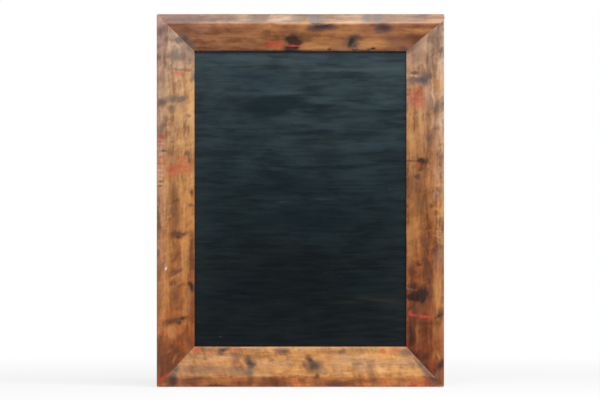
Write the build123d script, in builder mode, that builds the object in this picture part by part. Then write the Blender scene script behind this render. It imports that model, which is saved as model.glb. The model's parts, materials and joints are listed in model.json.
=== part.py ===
from build123d import *
import os

# Framed writing board, in millimetres. +Z is up, +X is to the right and the front faces -Y.
# The origin is the middle of the frame's bottom face. Left and right are as seen from the front.

# Outline of the frame, and the widths of its four members as seen from the front.
BOARD_W = 575.0
BOARD_H = 746.0
TOP_RAIL_W = 75.0
BOTTOM_RAIL_W = 81.0
STILE_W = 76.0

# Section of the members. Depths run forwards from the frame's flat back.
SIGHT_DEPTH = 18.0
RIDGE_DEPTH = 32.0
EDGE_DEPTH = 20.0
RIDGE_SHARE = 0.735
REBATE_W = 10.0
ARRIS_R = 2.0
SIGHT_ARRIS_R = 1.0

# The top right joint is cut off its true angle, and the bottom rail is planed to meet the lower stile.
JOINT_DROP = 12.0
PLANED_W = 19.0

# Writing panel.
PANEL_T = 12.0
PANEL_SIDE_GAP = 1.0
PANEL_BACK_GAP = 0.2
PANEL_EDGE_R = 0.6

# Pressed beech biscuits across the corner joints.
BISCUIT_L = 56.0
BISCUIT_W = 23.0
BISCUIT_T = 4.0
BISCUIT_DEPTH = 14.5
BISCUIT_FIT = 0.1

# Turn buttons and their screws.
BUTTON_INSET = 9.0
BUTTON_REACH = 16.5
BUTTON_PIVOT_R = 5.5
BUTTON_TIP_R = 4.0
BUTTON_T = 1.2
BUTTON_EDGE_R = 0.3
BUTTON_GAP = 0.1
BUTTON_HOLE_FIT = 0.08
RAIL_BUTTON_X = 115.0
STILE_BUTTON_HEIGHTS = {"upper": 622.0, "middle": 376.0, "lower": 130.0}

# Pan head wood screws. The length counts from under the head.
SCREW_R = 1.7
SCREW_HEAD_R = 3.5
SCREW_HEAD_H = 2.1
SCREW_RIM_H = 0.7
SCREW_TIP_L = 3.0
SCREW_HOLE_FIT = 0.05
RECESS_L = 3.6
RECESS_W = 0.9
RECESS_D = 1.2
BUTTON_SCREW_L = 13.0
HANGER_SCREW_L = 16.0

# Strap hangers with D-rings, on the backs of the stiles.
HANGER_HEIGHT = 556.0
STRAP_W = 12.0
STRAP_SHEET_T = 1.2
STRAP_SCREW_DROPS = (9.0, 27.0)
STRAP_TAIL = 6.0
STRAP_CORNER_R = 5.0
RING_WIRE_R = 1.5
RING_FIT = 0.05
RING_HALF_W = 9.5
RING_SIDE_L = 8.0
RING_CORNER_R = 3.0
RING_LEAN = 3.4

# Rubber pads that keep the lower corners off the wall.
BUMPER_R = 7.0
BUMPER_T = 6.0
BUMPER_EDGE_R = 1.2
BUMPER_X = 230.0
BUMPER_HEIGHT = 34.0

# Worked out from the dimensions above.
BACK_Y = EDGE_DEPTH / 2
RIGHT = BOARD_W / 2
LEFT = -RIGHT
SIGHT_RIGHT = RIGHT - STILE_W
SIGHT_LEFT = -SIGHT_RIGHT
SIGHT_BOTTOM = BOTTOM_RAIL_W
SIGHT_TOP = BOARD_H - TOP_RAIL_W
REBATE_DEPTH = PANEL_T + PANEL_BACK_GAP
STILE_MIDDLE_X = SIGHT_RIGHT + (REBATE_W + STILE_W) / 2
RIDGE_SHARE_TOP_RIGHT = RIDGE_SHARE * TOP_RAIL_W / (TOP_RAIL_W - JOINT_DROP)
RISE = RIDGE_DEPTH - SIGHT_DEPTH
STILE_RIDGE_DEPTH = SIGHT_DEPTH + RISE * RIDGE_SHARE / RIDGE_SHARE_TOP_RIGHT
SCREW_CROWN_H = SCREW_HEAD_H - SCREW_RIM_H
SCREW_CROWN_R = (SCREW_HEAD_R**2 + SCREW_CROWN_H**2) / (2 * SCREW_CROWN_H)
STRAP_T = 2 * STRAP_SHEET_T
SLEEVE_BORE_R = RING_WIRE_R + RING_FIT
SLEEVE_R = SLEEVE_BORE_R + STRAP_SHEET_T
BACKWARDS = Vector(0, 1, 0)

os.makedirs("parts", exist_ok=True)


def at(x, depth, z):
    """The point that lies depth in front of the frame's back, or behind it where depth is negative."""
    return Vector(x, BACK_Y - depth, z)


def plane_through(first, second, third, kept):
    """The plane through three points, with its normal towards the side that holds the kept point."""
    normal = (second - first).cross(third - first)
    if normal.dot(kept - first) < 0:
        normal = -normal
    return Plane(origin=first, z_dir=normal)


def back_plane(x, z, depth=0.0, x_dir=(1, 0, 0)):
    """A plane on the frame's back, or depth in front of it, that faces backwards."""
    return Plane(origin=at(x, depth, z), x_dir=x_dir, z_dir=BACKWARDS)


class Joint:
    """A corner joint: the line from the sight opening's corner to where it meets the outer edge."""

    def __init__(self, inner, outer):
        self.inner = inner
        self.outer = outer

    def point(self, share, depth):
        """The point at this share of the way from the inner end to the outer one."""
        x = self.inner[0] + share * (self.outer[0] - self.inner[0])
        z = self.inner[1] + share * (self.outer[1] - self.inner[1])
        return at(x, depth, z)

    def cut(self, kept):
        """The plane of the joint, with its normal towards the member that is kept."""
        return plane_through(self.point(0, 0), self.point(1, 0), self.point(0, 1), kept)

    def biscuit_plane(self):
        """The plane in which the biscuit lies, centred on the glued part of the joint."""
        glued_from = REBATE_W / STILE_W
        along = self.point(1, 0) - self.point(0, 0)
        middle = self.point((1 + glued_from) / 2, BISCUIT_DEPTH)
        return Plane(origin=middle, x_dir=along, z_dir=BACKWARDS)


TOP_LEFT = Joint((SIGHT_LEFT, SIGHT_TOP), (LEFT, BOARD_H))
TOP_RIGHT = Joint((SIGHT_RIGHT, SIGHT_TOP), (RIGHT, BOARD_H - JOINT_DROP))
BOTTOM_LEFT = Joint((SIGHT_LEFT, SIGHT_BOTTOM), (LEFT, 0))
BOTTOM_RIGHT = Joint((SIGHT_RIGHT, SIGHT_BOTTOM), (RIGHT, 0))
JOINTS = {
    "top_left": TOP_LEFT,
    "top_right": TOP_RIGHT,
    "bottom_left": BOTTOM_LEFT,
    "bottom_right": BOTTOM_RIGHT,
}


def button_pivots():
    """Each turn button's screw, as its place across, its height and the way to the panel."""
    side_x = SIGHT_RIGHT + REBATE_W + BUTTON_INSET
    top_z = SIGHT_TOP + REBATE_W + BUTTON_INSET
    bottom_z = SIGHT_BOTTOM - REBATE_W - BUTTON_INSET
    pivots = {}
    for side, sign in (("left", -1), ("right", 1)):
        pivots["top_" + side] = (sign * RAIL_BUTTON_X, top_z, (0, 0, -1))
        pivots["bottom_" + side] = (sign * RAIL_BUTTON_X, bottom_z, (0, 0, 1))
        for level, height in STILE_BUTTON_HEIGHTS.items():
            pivots[side + "_" + level] = (sign * side_x, height, (-sign, 0, 0))
    return pivots


def hanger_screw_places():
    """The hanger screws' places on the backs of the two stiles."""
    return [
        (sign * STILE_MIDDLE_X, HANGER_HEIGHT - drop)
        for sign in (-1, 1)
        for drop in STRAP_SCREW_DROPS
    ]


BUTTON_PIVOTS = button_pivots()
HANGER_SCREWS = hanger_screw_places()


def biscuit_outline(clearance):
    """The lens outline of a biscuit, or of its slot where there is a clearance."""
    half_length = BISCUIT_L / 2 + clearance
    half_width = BISCUIT_W / 2 + clearance
    with BuildSketch() as outline:
        with BuildLine():
            ThreePointArc((-half_length, 0), (0, half_width), (half_length, 0))
            ThreePointArc((half_length, 0), (0, -half_width), (-half_length, 0))
        make_face()
    return outline.sketch


BISCUIT = biscuit_outline(0)
BISCUIT_SLOT = biscuit_outline(BISCUIT_FIT)


def frame_member(name, width, outward, joints, ridge, edge_point, end_cut=None):
    """Make and write one member of the frame.

    A rebated blank is planed to its two faces, eased along its arrises, cut at both joints and slotted
    for the biscuits. Screw holes are drilled from the back.
    """
    outward = Vector(outward)
    sight = [joint.point(0, SIGHT_DEPTH) for joint in joints]
    sight_middle = (sight[0] + sight[1]) / 2
    ridge_middle = (ridge[0] + ridge[1]) / 2
    back_middle = (joints[0].point(0, 0) + joints[1].point(0, 0)) / 2
    section = Plane(origin=back_middle, x_dir=outward, z_dir=outward.cross(-BACKWARDS))
    inside = section.from_local_coords(Vector(width / 2, EDGE_DEPTH / 2, 0))
    with BuildPart() as member:
        with BuildSketch(section):
            with BuildLine():
                Polyline(
                    (0, REBATE_DEPTH),
                    (0, RIDGE_DEPTH),
                    (width, RIDGE_DEPTH),
                    (width, 0),
                    (REBATE_W, 0),
                    (REBATE_W, REBATE_DEPTH),
                    close=True,
                )
            make_face()
        extrude(amount=BOARD_H, both=True)
        split(bisect_by=plane_through(sight[0], sight[1], ridge[0], inside))
        split(bisect_by=plane_through(ridge[0], ridge[1], edge_point, inside))
        arrises = member.edges().filter_by(lambda line: line.length > BOARD_H)
        ridge_arris = arrises.sort_by_distance(ridge_middle)[0]
        outer_arrises = arrises.group_by(lambda line: round(outward.dot(line @ 0.5)))[-1]
        fillet([ridge_arris, *outer_arrises], ARRIS_R)
        fillet(member.edges().sort_by_distance(sight_middle)[0], SIGHT_ARRIS_R)
        for joint in joints:
            split(bisect_by=joint.cut(inside))
        if end_cut:
            split(bisect_by=plane_through(*end_cut, inside))
        for joint in joints:
            with BuildSketch(joint.biscuit_plane()):
                add(BISCUIT_SLOT)
            extrude(amount=BISCUIT_T / 2 + BISCUIT_FIT, both=True, mode=Mode.SUBTRACT)
        holes = [(x, z, BUTTON_SCREW_L) for x, z, _ in BUTTON_PIVOTS.values()]
        holes += [(x, z, HANGER_SCREW_L) for x, z in HANGER_SCREWS]
        for x, z, depth in holes:
            from_sight = section.to_local_coords(at(x, 0, z)).X
            if 0 < from_sight < width:
                with Locations(back_plane(x, z)):
                    Hole(SCREW_R + SCREW_HOLE_FIT, depth)
    member.part.label = name
    export_step(member.part, f"parts/{name}.step")


RIDGE_TOP_LEFT = TOP_LEFT.point(RIDGE_SHARE, RIDGE_DEPTH)
RIDGE_TOP_RIGHT = TOP_RIGHT.point(RIDGE_SHARE_TOP_RIGHT, RIDGE_DEPTH)
RIDGE_BOTTOM_LEFT = BOTTOM_LEFT.point(RIDGE_SHARE, RIDGE_DEPTH)
RIDGE_BOTTOM_RIGHT = BOTTOM_RIGHT.point(RIDGE_SHARE, RIDGE_DEPTH)
STILE_RIDGE_BOTTOM = BOTTOM_RIGHT.point(RIDGE_SHARE, STILE_RIDGE_DEPTH)

frame_member(
    "frame_top_rail",
    TOP_RAIL_W,
    (0, 0, 1),
    (TOP_LEFT, TOP_RIGHT),
    (RIDGE_TOP_LEFT, RIDGE_TOP_RIGHT),
    at(0, EDGE_DEPTH, BOARD_H),
    end_cut=(at(RIGHT, 0, 0), at(RIGHT, 0, BOARD_H), at(RIGHT, RIDGE_DEPTH, BOARD_H)),
)
frame_member(
    "frame_bottom_rail",
    BOTTOM_RAIL_W,
    (0, 0, -1),
    (BOTTOM_LEFT, BOTTOM_RIGHT),
    (RIDGE_BOTTOM_LEFT, RIDGE_BOTTOM_RIGHT),
    at(0, EDGE_DEPTH, 0),
    end_cut=(
        BOTTOM_RIGHT.point(0, SIGHT_DEPTH),
        STILE_RIDGE_BOTTOM,
        RIDGE_BOTTOM_RIGHT - Vector(PLANED_W, 0, 0),
    ),
)
frame_member(
    "frame_left_stile",
    STILE_W,
    (-1, 0, 0),
    (TOP_LEFT, BOTTOM_LEFT),
    (RIDGE_TOP_LEFT, RIDGE_BOTTOM_LEFT),
    at(LEFT, EDGE_DEPTH, 0),
)
frame_member(
    "frame_right_stile",
    STILE_W,
    (1, 0, 0),
    (TOP_RIGHT, BOTTOM_RIGHT),
    (RIDGE_TOP_RIGHT, STILE_RIDGE_BOTTOM),
    at(RIGHT, EDGE_DEPTH, 0),
)

# The biscuits, one across each corner joint.
for corner, joint in JOINTS.items():
    with BuildPart() as biscuit:
        with BuildSketch(joint.biscuit_plane()):
            add(BISCUIT)
        extrude(amount=BISCUIT_T / 2, both=True)
    biscuit.part.label = f"corner_biscuit_{corner}"
    export_step(biscuit.part, f"parts/corner_biscuit_{corner}.step")

# The writing panel, with its painted face against the rebate's lip.
with BuildPart() as writing_panel:
    panel_w = SIGHT_RIGHT - SIGHT_LEFT + 2 * (REBATE_W - PANEL_SIDE_GAP)
    panel_h = SIGHT_TOP - SIGHT_BOTTOM + 2 * (REBATE_W - PANEL_SIDE_GAP)
    with BuildSketch(back_plane(0, (SIGHT_TOP + SIGHT_BOTTOM) / 2, REBATE_DEPTH)):
        Rectangle(panel_w, panel_h)
    extrude(amount=PANEL_T)
    fillet(writing_panel.edges(), PANEL_EDGE_R)
writing_panel.part.label = "writing_panel"
export_step(writing_panel.part, "parts/writing_panel.step")

# The turn buttons, each closed over the panel's back.
for place, (x, z, inward) in BUTTON_PIVOTS.items():
    with BuildPart() as turn_button:
        with BuildSketch(back_plane(x, z, -BUTTON_GAP, inward)):
            Circle(BUTTON_PIVOT_R)
            with Locations((BUTTON_REACH, 0)):
                Circle(BUTTON_TIP_R)
            make_hull()
            Circle(SCREW_R + BUTTON_HOLE_FIT, mode=Mode.SUBTRACT)
        extrude(amount=BUTTON_T)
        rims = turn_button.edges().filter_by(lambda line: line.length > 2 * SCREW_HEAD_R)
        fillet(rims.filter_by_position(Axis.Y, BACK_Y, BACK_Y + 2 * BUTTON_T), BUTTON_EDGE_R)
    turn_button.part.label = f"turn_button_{place}"
    export_step(turn_button.part, f"parts/turn_button_{place}.step")


def pan_head_screw(length):
    """One screw that points down, with its head's underside at the origin."""
    with BuildPart() as screw:
        with BuildSketch(Plane.XZ):
            with BuildLine():
                Polyline(
                    (0, SCREW_HEAD_H),
                    (0, -length),
                    (SCREW_R, SCREW_TIP_L - length),
                    (SCREW_R, 0),
                    (SCREW_HEAD_R, 0),
                    (SCREW_HEAD_R, SCREW_RIM_H),
                )
                RadiusArc((SCREW_HEAD_R, SCREW_RIM_H), (0, SCREW_HEAD_H), -SCREW_CROWN_R)
            make_face()
        revolve(axis=Axis.Z)
        with BuildSketch(Plane.XY.offset(SCREW_HEAD_H)):
            Rectangle(RECESS_L, RECESS_W)
            Rectangle(RECESS_W, RECESS_L)
        extrude(amount=-RECESS_D, mode=Mode.SUBTRACT)
    return screw.part


# The screws, with their heads just clear of the plates that they hold.
button_screw = pan_head_screw(BUTTON_SCREW_L)
with BuildPart() as turn_button_screws:
    with Locations(*[back_plane(x, z, -(BUTTON_T + 2 * BUTTON_GAP)) for x, z, _ in BUTTON_PIVOTS.values()]):
        add(button_screw)
turn_button_screws.part.label = "turn_button_screws"
export_step(turn_button_screws.part, "parts/turn_button_screws.step")

hanger_screw = pan_head_screw(HANGER_SCREW_L)
with BuildPart() as hanger_screws:
    with Locations(*[back_plane(x, z, -STRAP_T) for x, z in HANGER_SCREWS]):
        add(hanger_screw)
hanger_screws.part.label = "hanger_screws"
export_step(hanger_screws.part, "parts/hanger_screws.step")

# The hangers: a strap folded double round the straight bar of a D-ring.
for side, sign in (("left", -1), ("right", 1)):
    hanger_x = sign * STILE_MIDDLE_X
    pivot = at(hanger_x, -SLEEVE_R, HANGER_HEIGHT)
    tail = max(STRAP_SCREW_DROPS) + STRAP_TAIL
    with BuildPart() as hanger_strap:
        with BuildSketch(back_plane(hanger_x, HANGER_HEIGHT - tail / 2)):
            Rectangle(STRAP_W, tail)
        extrude(amount=STRAP_T)
        fillet(hanger_strap.edges().filter_by(Axis.Y).group_by(Axis.Z)[0], STRAP_CORNER_R)
        with BuildSketch(Plane(origin=pivot, x_dir=(0, 1, 0), z_dir=(1, 0, 0))):
            Circle(SLEEVE_R)
        extrude(amount=STRAP_W / 2, both=True)
        with BuildSketch(Plane(origin=pivot, x_dir=(0, 1, 0), z_dir=(1, 0, 0))):
            Circle(SLEEVE_BORE_R)
        extrude(amount=STRAP_W, both=True, mode=Mode.SUBTRACT)
        for drop in STRAP_SCREW_DROPS:
            with Locations(back_plane(hanger_x, HANGER_HEIGHT - drop, -STRAP_T)):
                Hole(SCREW_R + SCREW_HOLE_FIT, STRAP_T)
    hanger_strap.part.label = f"hanger_strap_{side}"
    export_step(hanger_strap.part, f"parts/hanger_strap_{side}.step")

    ring_plane = Plane(origin=pivot, x_dir=(1, 0, 0), z_dir=(0, -1, 0)).rotated((RING_LEAN, 0, 0))
    with BuildPart() as hanger_ring:
        with BuildLine(ring_plane) as ring_path:
            straight = RING_HALF_W - RING_CORNER_R
            Line((-straight, 0), (straight, 0))
            RadiusArc((straight, 0), (RING_HALF_W, RING_CORNER_R), -RING_CORNER_R)
            Line((RING_HALF_W, RING_CORNER_R), (RING_HALF_W, RING_SIDE_L))
            ThreePointArc(
                (RING_HALF_W, RING_SIDE_L),
                (0, RING_SIDE_L + RING_HALF_W),
                (-RING_HALF_W, RING_SIDE_L),
            )
            Line((-RING_HALF_W, RING_SIDE_L), (-RING_HALF_W, RING_CORNER_R))
            RadiusArc((-RING_HALF_W, RING_CORNER_R), (-straight, 0), -RING_CORNER_R)
        with BuildSketch(Plane(origin=pivot - Vector(straight, 0, 0), z_dir=(1, 0, 0))):
            Circle(RING_WIRE_R)
        sweep(path=ring_path.wires()[0])
    hanger_ring.part.label = f"hanger_ring_{side}"
    export_step(hanger_ring.part, f"parts/hanger_ring_{side}.step")

# The rubber bumpers at the lower corners.
for side, sign in (("left", -1), ("right", 1)):
    with BuildPart() as wall_bumper:
        with BuildSketch(back_plane(sign * BUMPER_X, BUMPER_HEIGHT)):
            Circle(BUMPER_R)
        extrude(amount=BUMPER_T)
        fillet(wall_bumper.edges().group_by(Axis.Y)[-1], BUMPER_EDGE_R)
    wall_bumper.part.label = f"wall_bumper_{side}"
    export_step(wall_bumper.part, f"parts/wall_bumper_{side}.step")
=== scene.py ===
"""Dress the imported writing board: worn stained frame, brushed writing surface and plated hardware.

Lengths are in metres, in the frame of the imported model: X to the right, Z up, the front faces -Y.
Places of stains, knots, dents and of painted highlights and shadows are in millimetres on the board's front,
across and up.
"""

import json
import logging
import math
from dataclasses import dataclass, field
from enum import Enum
from functools import cached_property
from typing import Any, Callable, Iterable, Union

import bpy
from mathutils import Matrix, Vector


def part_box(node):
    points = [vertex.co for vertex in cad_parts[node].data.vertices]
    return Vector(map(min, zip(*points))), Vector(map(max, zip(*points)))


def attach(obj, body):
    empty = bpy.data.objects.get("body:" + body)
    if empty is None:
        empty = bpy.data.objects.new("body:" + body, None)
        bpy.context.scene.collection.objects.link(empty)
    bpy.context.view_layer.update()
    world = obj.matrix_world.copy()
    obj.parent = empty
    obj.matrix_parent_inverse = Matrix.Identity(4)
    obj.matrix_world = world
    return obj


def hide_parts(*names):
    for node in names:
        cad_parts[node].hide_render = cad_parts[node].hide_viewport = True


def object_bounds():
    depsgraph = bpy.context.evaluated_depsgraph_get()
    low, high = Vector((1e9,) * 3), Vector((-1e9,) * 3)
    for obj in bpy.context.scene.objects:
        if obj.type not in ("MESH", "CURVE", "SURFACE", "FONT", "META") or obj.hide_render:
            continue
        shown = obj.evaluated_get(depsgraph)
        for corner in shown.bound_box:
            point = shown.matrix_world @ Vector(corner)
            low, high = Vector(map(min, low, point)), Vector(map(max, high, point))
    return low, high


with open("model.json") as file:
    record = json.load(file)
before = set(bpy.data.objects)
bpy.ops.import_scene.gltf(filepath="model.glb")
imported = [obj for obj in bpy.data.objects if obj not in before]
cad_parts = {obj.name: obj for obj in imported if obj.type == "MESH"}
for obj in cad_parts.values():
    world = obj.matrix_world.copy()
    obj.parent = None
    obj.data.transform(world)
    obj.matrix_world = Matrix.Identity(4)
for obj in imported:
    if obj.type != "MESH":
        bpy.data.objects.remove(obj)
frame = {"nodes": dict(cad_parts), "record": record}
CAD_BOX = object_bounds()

LOG = logging.getLogger("writing_board")
MM = 0.001

Triple = tuple[float, float, float]
Colour = Triple
Stations = tuple[tuple[float, Colour], ...]
Value = Union[float, tuple, bpy.types.NodeSocket]
WHITE: Colour = (1.0, 1.0, 1.0)


class Grain(Enum):
    """The way in which a pattern is drawn out."""

    SIDEWAYS = "sideways"
    UPRIGHT = "upright"
    ON_SHEET = "on_sheet"

    def size(self, along: float, across: float) -> Triple:
        """Return the size of a feature of the pattern on the three axes.

        Args:
            along: Its length along the grain, in metres.
            across: Its width, in metres.

        Returns:
            The sizes on X, Y and Z. On a sheet the pattern hardly changes through the thickness.
        """
        sizes = {
            Grain.SIDEWAYS: (along, across, across),
            Grain.UPRIGHT: (across, across, along),
            Grain.ON_SHEET: (along, 1.0, across),
        }
        return sizes[self]

    def stretch(self, along: float, across: float) -> Triple:
        """Return the scale that gives a noise features of that length and width."""
        width, depth, height = self.size(along, across)
        return (1 / width, 1 / depth, 1 / height)


class Graph:
    """The node tree of a material or of the world, built from its coordinates towards its output."""

    def __init__(self, owner: bpy.types.Material | bpy.types.World) -> None:
        """Start an empty tree for its owner.

        Args:
            owner: The material or the world.
        """
        owner.use_nodes = True
        self.owner = owner
        self.tree = owner.node_tree
        self.tree.nodes.clear()

    @classmethod
    def of_material(cls, name: str) -> "Graph":
        """Start the tree of a new material of that name."""
        return cls(bpy.data.materials.new(name))

    @cached_property
    def place(self) -> Value:
        """The object's own coordinates."""
        return self.add("ShaderNodeTexCoord").outputs["Object"]

    def add(self, kind: str, inputs: dict[Any, Value] | None = None, **settings: Any) -> bpy.types.Node:
        """Add a node.

        Args:
            kind: The node's type name.
            inputs: Values or sockets for its inputs, by name or number.
            **settings: Properties to set on the node.

        Returns:
            The new node.
        """
        node = self.tree.nodes.new(kind)
        for key, value in settings.items():
            setattr(node, key, value)
        for key, value in (inputs or {}).items():
            socket = node.inputs[key]
            if isinstance(value, bpy.types.NodeSocket):
                self.tree.links.new(value, socket)
            elif socket.type == "RGBA" and len(value) == 3:
                socket.default_value = (*value, 1.0)
            else:
                socket.default_value = value
        return node

    def mapped(self, vector: Value, kind: str = "POINT", **inputs: Value) -> Value:
        """Return the vector moved, turned and scaled by a Mapping node with these inputs."""
        return self.add("ShaderNodeMapping", {"Vector": vector, **inputs}, vector_type=kind).outputs["Vector"]

    def noise(self, vector: Value, scale: float = 1.0, detail: float = 2.0, rough: float = 0.5) -> Value:
        """Return a soft noise from 0 to 1 over the vector."""
        inputs = {"Vector": vector, "Scale": scale, "Detail": detail, "Roughness": rough}
        return self.add("ShaderNodeTexNoise", inputs).outputs["Fac"]

    def math(self, operation: str, first: Value, second: Value = 0.0, clamp: bool = False) -> Value:
        """Return the result of one Math node."""
        node = self.add("ShaderNodeMath", {0: first, 1: second}, operation=operation, use_clamp=clamp)
        return node.outputs[0]

    def total(self, *shares: tuple[Value, float]) -> Value:
        """Add up values, each times its weight.

        Args:
            *shares: The values, each with its weight.

        Returns:
            The sum.
        """
        result, *others = [self.math("MULTIPLY", value, weight) for value, weight in shares]
        for other in others:
            result = self.math("ADD", result, other)
        return result

    def fit(self, value: Value, low: float, high: float, to_low: float = 0.0, to_high: float = 1.0) -> Value:
        """Return the value eased from one range to another.

        Args:
            value: The value to map.
            low: Start of the range it comes from.
            high: End of that range.
            to_low: What the start becomes.
            to_high: What the end becomes.

        Returns:
            The eased value.
        """
        inputs = {0: value, 1: low, 2: high, 3: to_low, 4: to_high}
        return self.add("ShaderNodeMapRange", inputs, interpolation_type="SMOOTHSTEP").outputs[0]

    def run(self, value: Value, low: float, high: float, to_low: float = 0.0, to_high: float = 1.0) -> Value:
        """Return the value carried evenly from one range to another, as in fit."""
        return self.add("ShaderNodeMapRange", {0: value, 1: low, 2: high, 3: to_low, 4: to_high}).outputs[0]

    def mix(self, share: Value, first: Value, second: Value, blend: str = "MIX") -> Value:
        """Return a colour mixed from two by the share of the second."""
        inputs = {"Factor": share, 6: first, 7: second}
        return self.add("ShaderNodeMix", inputs, data_type="RGBA", blend_type=blend).outputs[2]

    def ramp(self, value: Value, stops: Iterable[tuple[float, Colour]]) -> Value:
        """Look the value up on a ramp of colours.

        Args:
            value: The value, from 0 to 1.
            stops: Places in that range, in order, each with its colour.

        Returns:
            The colour.
        """
        node = self.add("ShaderNodeValToRGB", {"Fac": value})
        marks = list(stops)
        elements = node.color_ramp.elements
        while len(elements) < len(marks):
            elements.new(1.0)
        for element, (position, colour) in zip(elements, marks):
            element.position = position
            element.color = (*colour, 1.0)
        return node.outputs["Color"]

    def axis(self, name: str) -> Value:
        """Return one of the object's own coordinates, X, Y or Z."""
        return self.add("ShaderNodeSeparateXYZ", {0: self.place}).outputs[name]

    def bump(self, height: Value, depth: float, strength: float, under: Value | None = None) -> Value:
        """Return a normal roughened by the height.

        Args:
            height: The height, from 0 to 1.
            depth: What a height of 1 stands for, in metres.
            strength: How much of the bump shows.
            under: A normal that is already roughened.

        Returns:
            The new normal.
        """
        inputs = {"Height": height, "Distance": depth, "Strength": strength}
        if under is not None:
            inputs["Normal"] = under
        return self.add("ShaderNodeBump", inputs).outputs["Normal"]

    def seen(self) -> Value:
        """Tell what is seen from what only gives light.

        Returns:
            1 for what the camera sees, also by a reflection or through glass, and 0 for other light.
        """
        path = self.add("ShaderNodeLightPath")
        straight = self.math("MAXIMUM", path.outputs["Is Camera Ray"], path.outputs["Is Glossy Ray"])
        return self.math("MAXIMUM", straight, path.outputs["Is Transmission Ray"])

    def end(self, surface: bpy.types.Node, kind: str = "ShaderNodeOutputMaterial") -> None:
        """Join the surface to an output node of that kind."""
        self.add(kind, {"Surface": surface.outputs[0]})

    def finish(self, inputs: dict[str, Value]) -> bpy.types.Material:
        """End the tree in a Principled surface with these inputs, and return the material."""
        self.end(self.add("ShaderNodeBsdfPrincipled", inputs))
        return self.owner


@dataclass(frozen=True)
class MarkLook:
    """How one kind of mark shows.

    Attributes:
        colour: Its colour.
        strength: How much it hides of what is under it.
        softness: Width of its faded rim, as a share of its size.
        broken: How far the grain or the brush strokes show through it, from 0 to 1.
    """

    colour: Colour
    strength: float
    softness: float
    broken: float


class MarkKind(Enum):
    """A kind of mark on the wood or on the writing surface, with its look. Some marks paint light and shade:
    highlight lines, shadow lines, a glint and a lightened band.
    """

    # Gold and pale marks are golden and pale wood, and some are painted highlights along ridges and edges.
    GOLD = MarkLook((0.64, 0.30, 0.085), 0.55, 0.8, 0.4)
    PALE = MarkLook((0.66, 0.44, 0.30), 0.60, 0.75, 0.5)
    # Brown, mauve and grey marks are the wood's own tones, and a few paint shadow and shade along the top
    # rail's lower edge and the bottom rail's joint.
    BROWN = MarkLook((0.115, 0.040, 0.020), 0.80, 0.8, 0.4)
    MAUVE = MarkLook((0.110, 0.064, 0.060), 0.85, 0.75, 0.3)
    GREY = MarkLook((0.130, 0.102, 0.080), 0.90, 0.75, 0.25)
    BLUED = MarkLook((0.148, 0.134, 0.132), 0.85, 0.75, 0.3)
    RED = MarkLook((0.60, 0.065, 0.038), 0.90, 0.7, 0.35)
    # Knots, and also painted shadow lines along the top rail's lower edge and beside the bottom rail's planed
    # facet.
    KNOT = MarkLook((0.020, 0.010, 0.009), 0.95, 0.75, 0.2)
    # A chip with a painted glint on it.
    SPLINTER = MarkLook((0.92, 0.79, 0.66), 0.95, 0.5, 0.1)
    # Chalk dust, and also painted light over the shadow at the top of the writing surface.
    DUST = MarkLook((0.044, 0.064, 0.072), 0.70, 0.85, 0.3)
    WIPED = MarkLook((0.0018, 0.0095, 0.0140), 0.85, 0.65, 0.25)
    RUBBED = MarkLook((0.029, 0.024, 0.018), 0.60, 0.85, 0.6)
    WORN = MarkLook((0.0020, 0.0030, 0.0035), 0.8, 0.5, 0.2)
    SPECK = MarkLook((0.16, 0.16, 0.14), 0.7, 0.6, 0.0)


@dataclass(frozen=True)
class Mark:
    """One mark, in millimetres on the board's front.

    Attributes:
        across: Its middle, to the right of the board's middle.
        up: Its middle, above the board's bottom edge.
        half_width: Half of its width.
        half_height: Half of its height.
        weight: How strongly it shows, from 0 to 1.
        turn: How far it leans, in degrees clockwise.
    """

    across: float
    up: float
    half_width: float
    half_height: float
    weight: float = 1.0
    turn: float = 0.0


Marks = dict[MarkKind, tuple[Mark, ...]]


def marks(*rows: tuple[float, ...]) -> tuple[Mark, ...]:
    """Return marks from rows that hold their fields in order."""
    return tuple(Mark(*row) for row in rows)


@dataclass(frozen=True)
class Noise:
    """A noise of drawn-out features.

    Attributes:
        along: The features' length, in metres.
        across: Their width.
        detail: How many finer layers there are.
        rough: How strong these are.
    """

    along: float
    across: float
    detail: float
    rough: float

    def over(self, graph: Graph, vector: Value, grain: Grain) -> Value:
        """Return the noise over the vector, drawn out along the grain."""
        spot = graph.mapped(vector, Scale=grain.stretch(self.along, self.across))
        return graph.noise(spot, 1.0, self.detail, self.rough)


@dataclass(frozen=True)
class Relief:
    """One layer of roughness in a surface.

    Attributes:
        noise: Name of the noise that it follows.
        depth: Its depth, in metres.
        strength: How much of it shows.
    """

    noise: str
    depth: float
    strength: float


def relieved(graph: Graph, noises: dict[str, Value], layers: Iterable[Relief]) -> Value:
    """Return the normal of a surface that follows some of its noises.

    Args:
        graph: The material's graph.
        noises: Its noises, by name.
        layers: The layers of its roughness.

    Returns:
        The roughened normal.
    """
    normal = None
    for layer in layers:
        normal = graph.bump(noises[layer.noise], layer.depth, layer.strength, normal)
    return normal


# How far coordinates are shaken, in millimetres, and where the noises for across and up are read.
SHAKE_REACHES = (0.6, 1.5, 4.0, 9.0)
SHAKE_SHIFTS = (0.0, 7.7)
# Width of the shaking noise and its strength, as multiples of that reach, and its detail and roughness.
SHAKE_WIDTH = 2.2
SHAKE_GAIN = 3.0
SHAKE_DETAIL = (3.0, 0.6)
# The range that most of a noise lies in, and that in which strokes break marks up.
NOISE_RANGE = (0.3, 0.7)
STROKE_RANGE = (0.35, 0.62)
# Depth of a mark, in metres, which takes it right through the board.
RIGHT_THROUGH = 1e3


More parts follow.
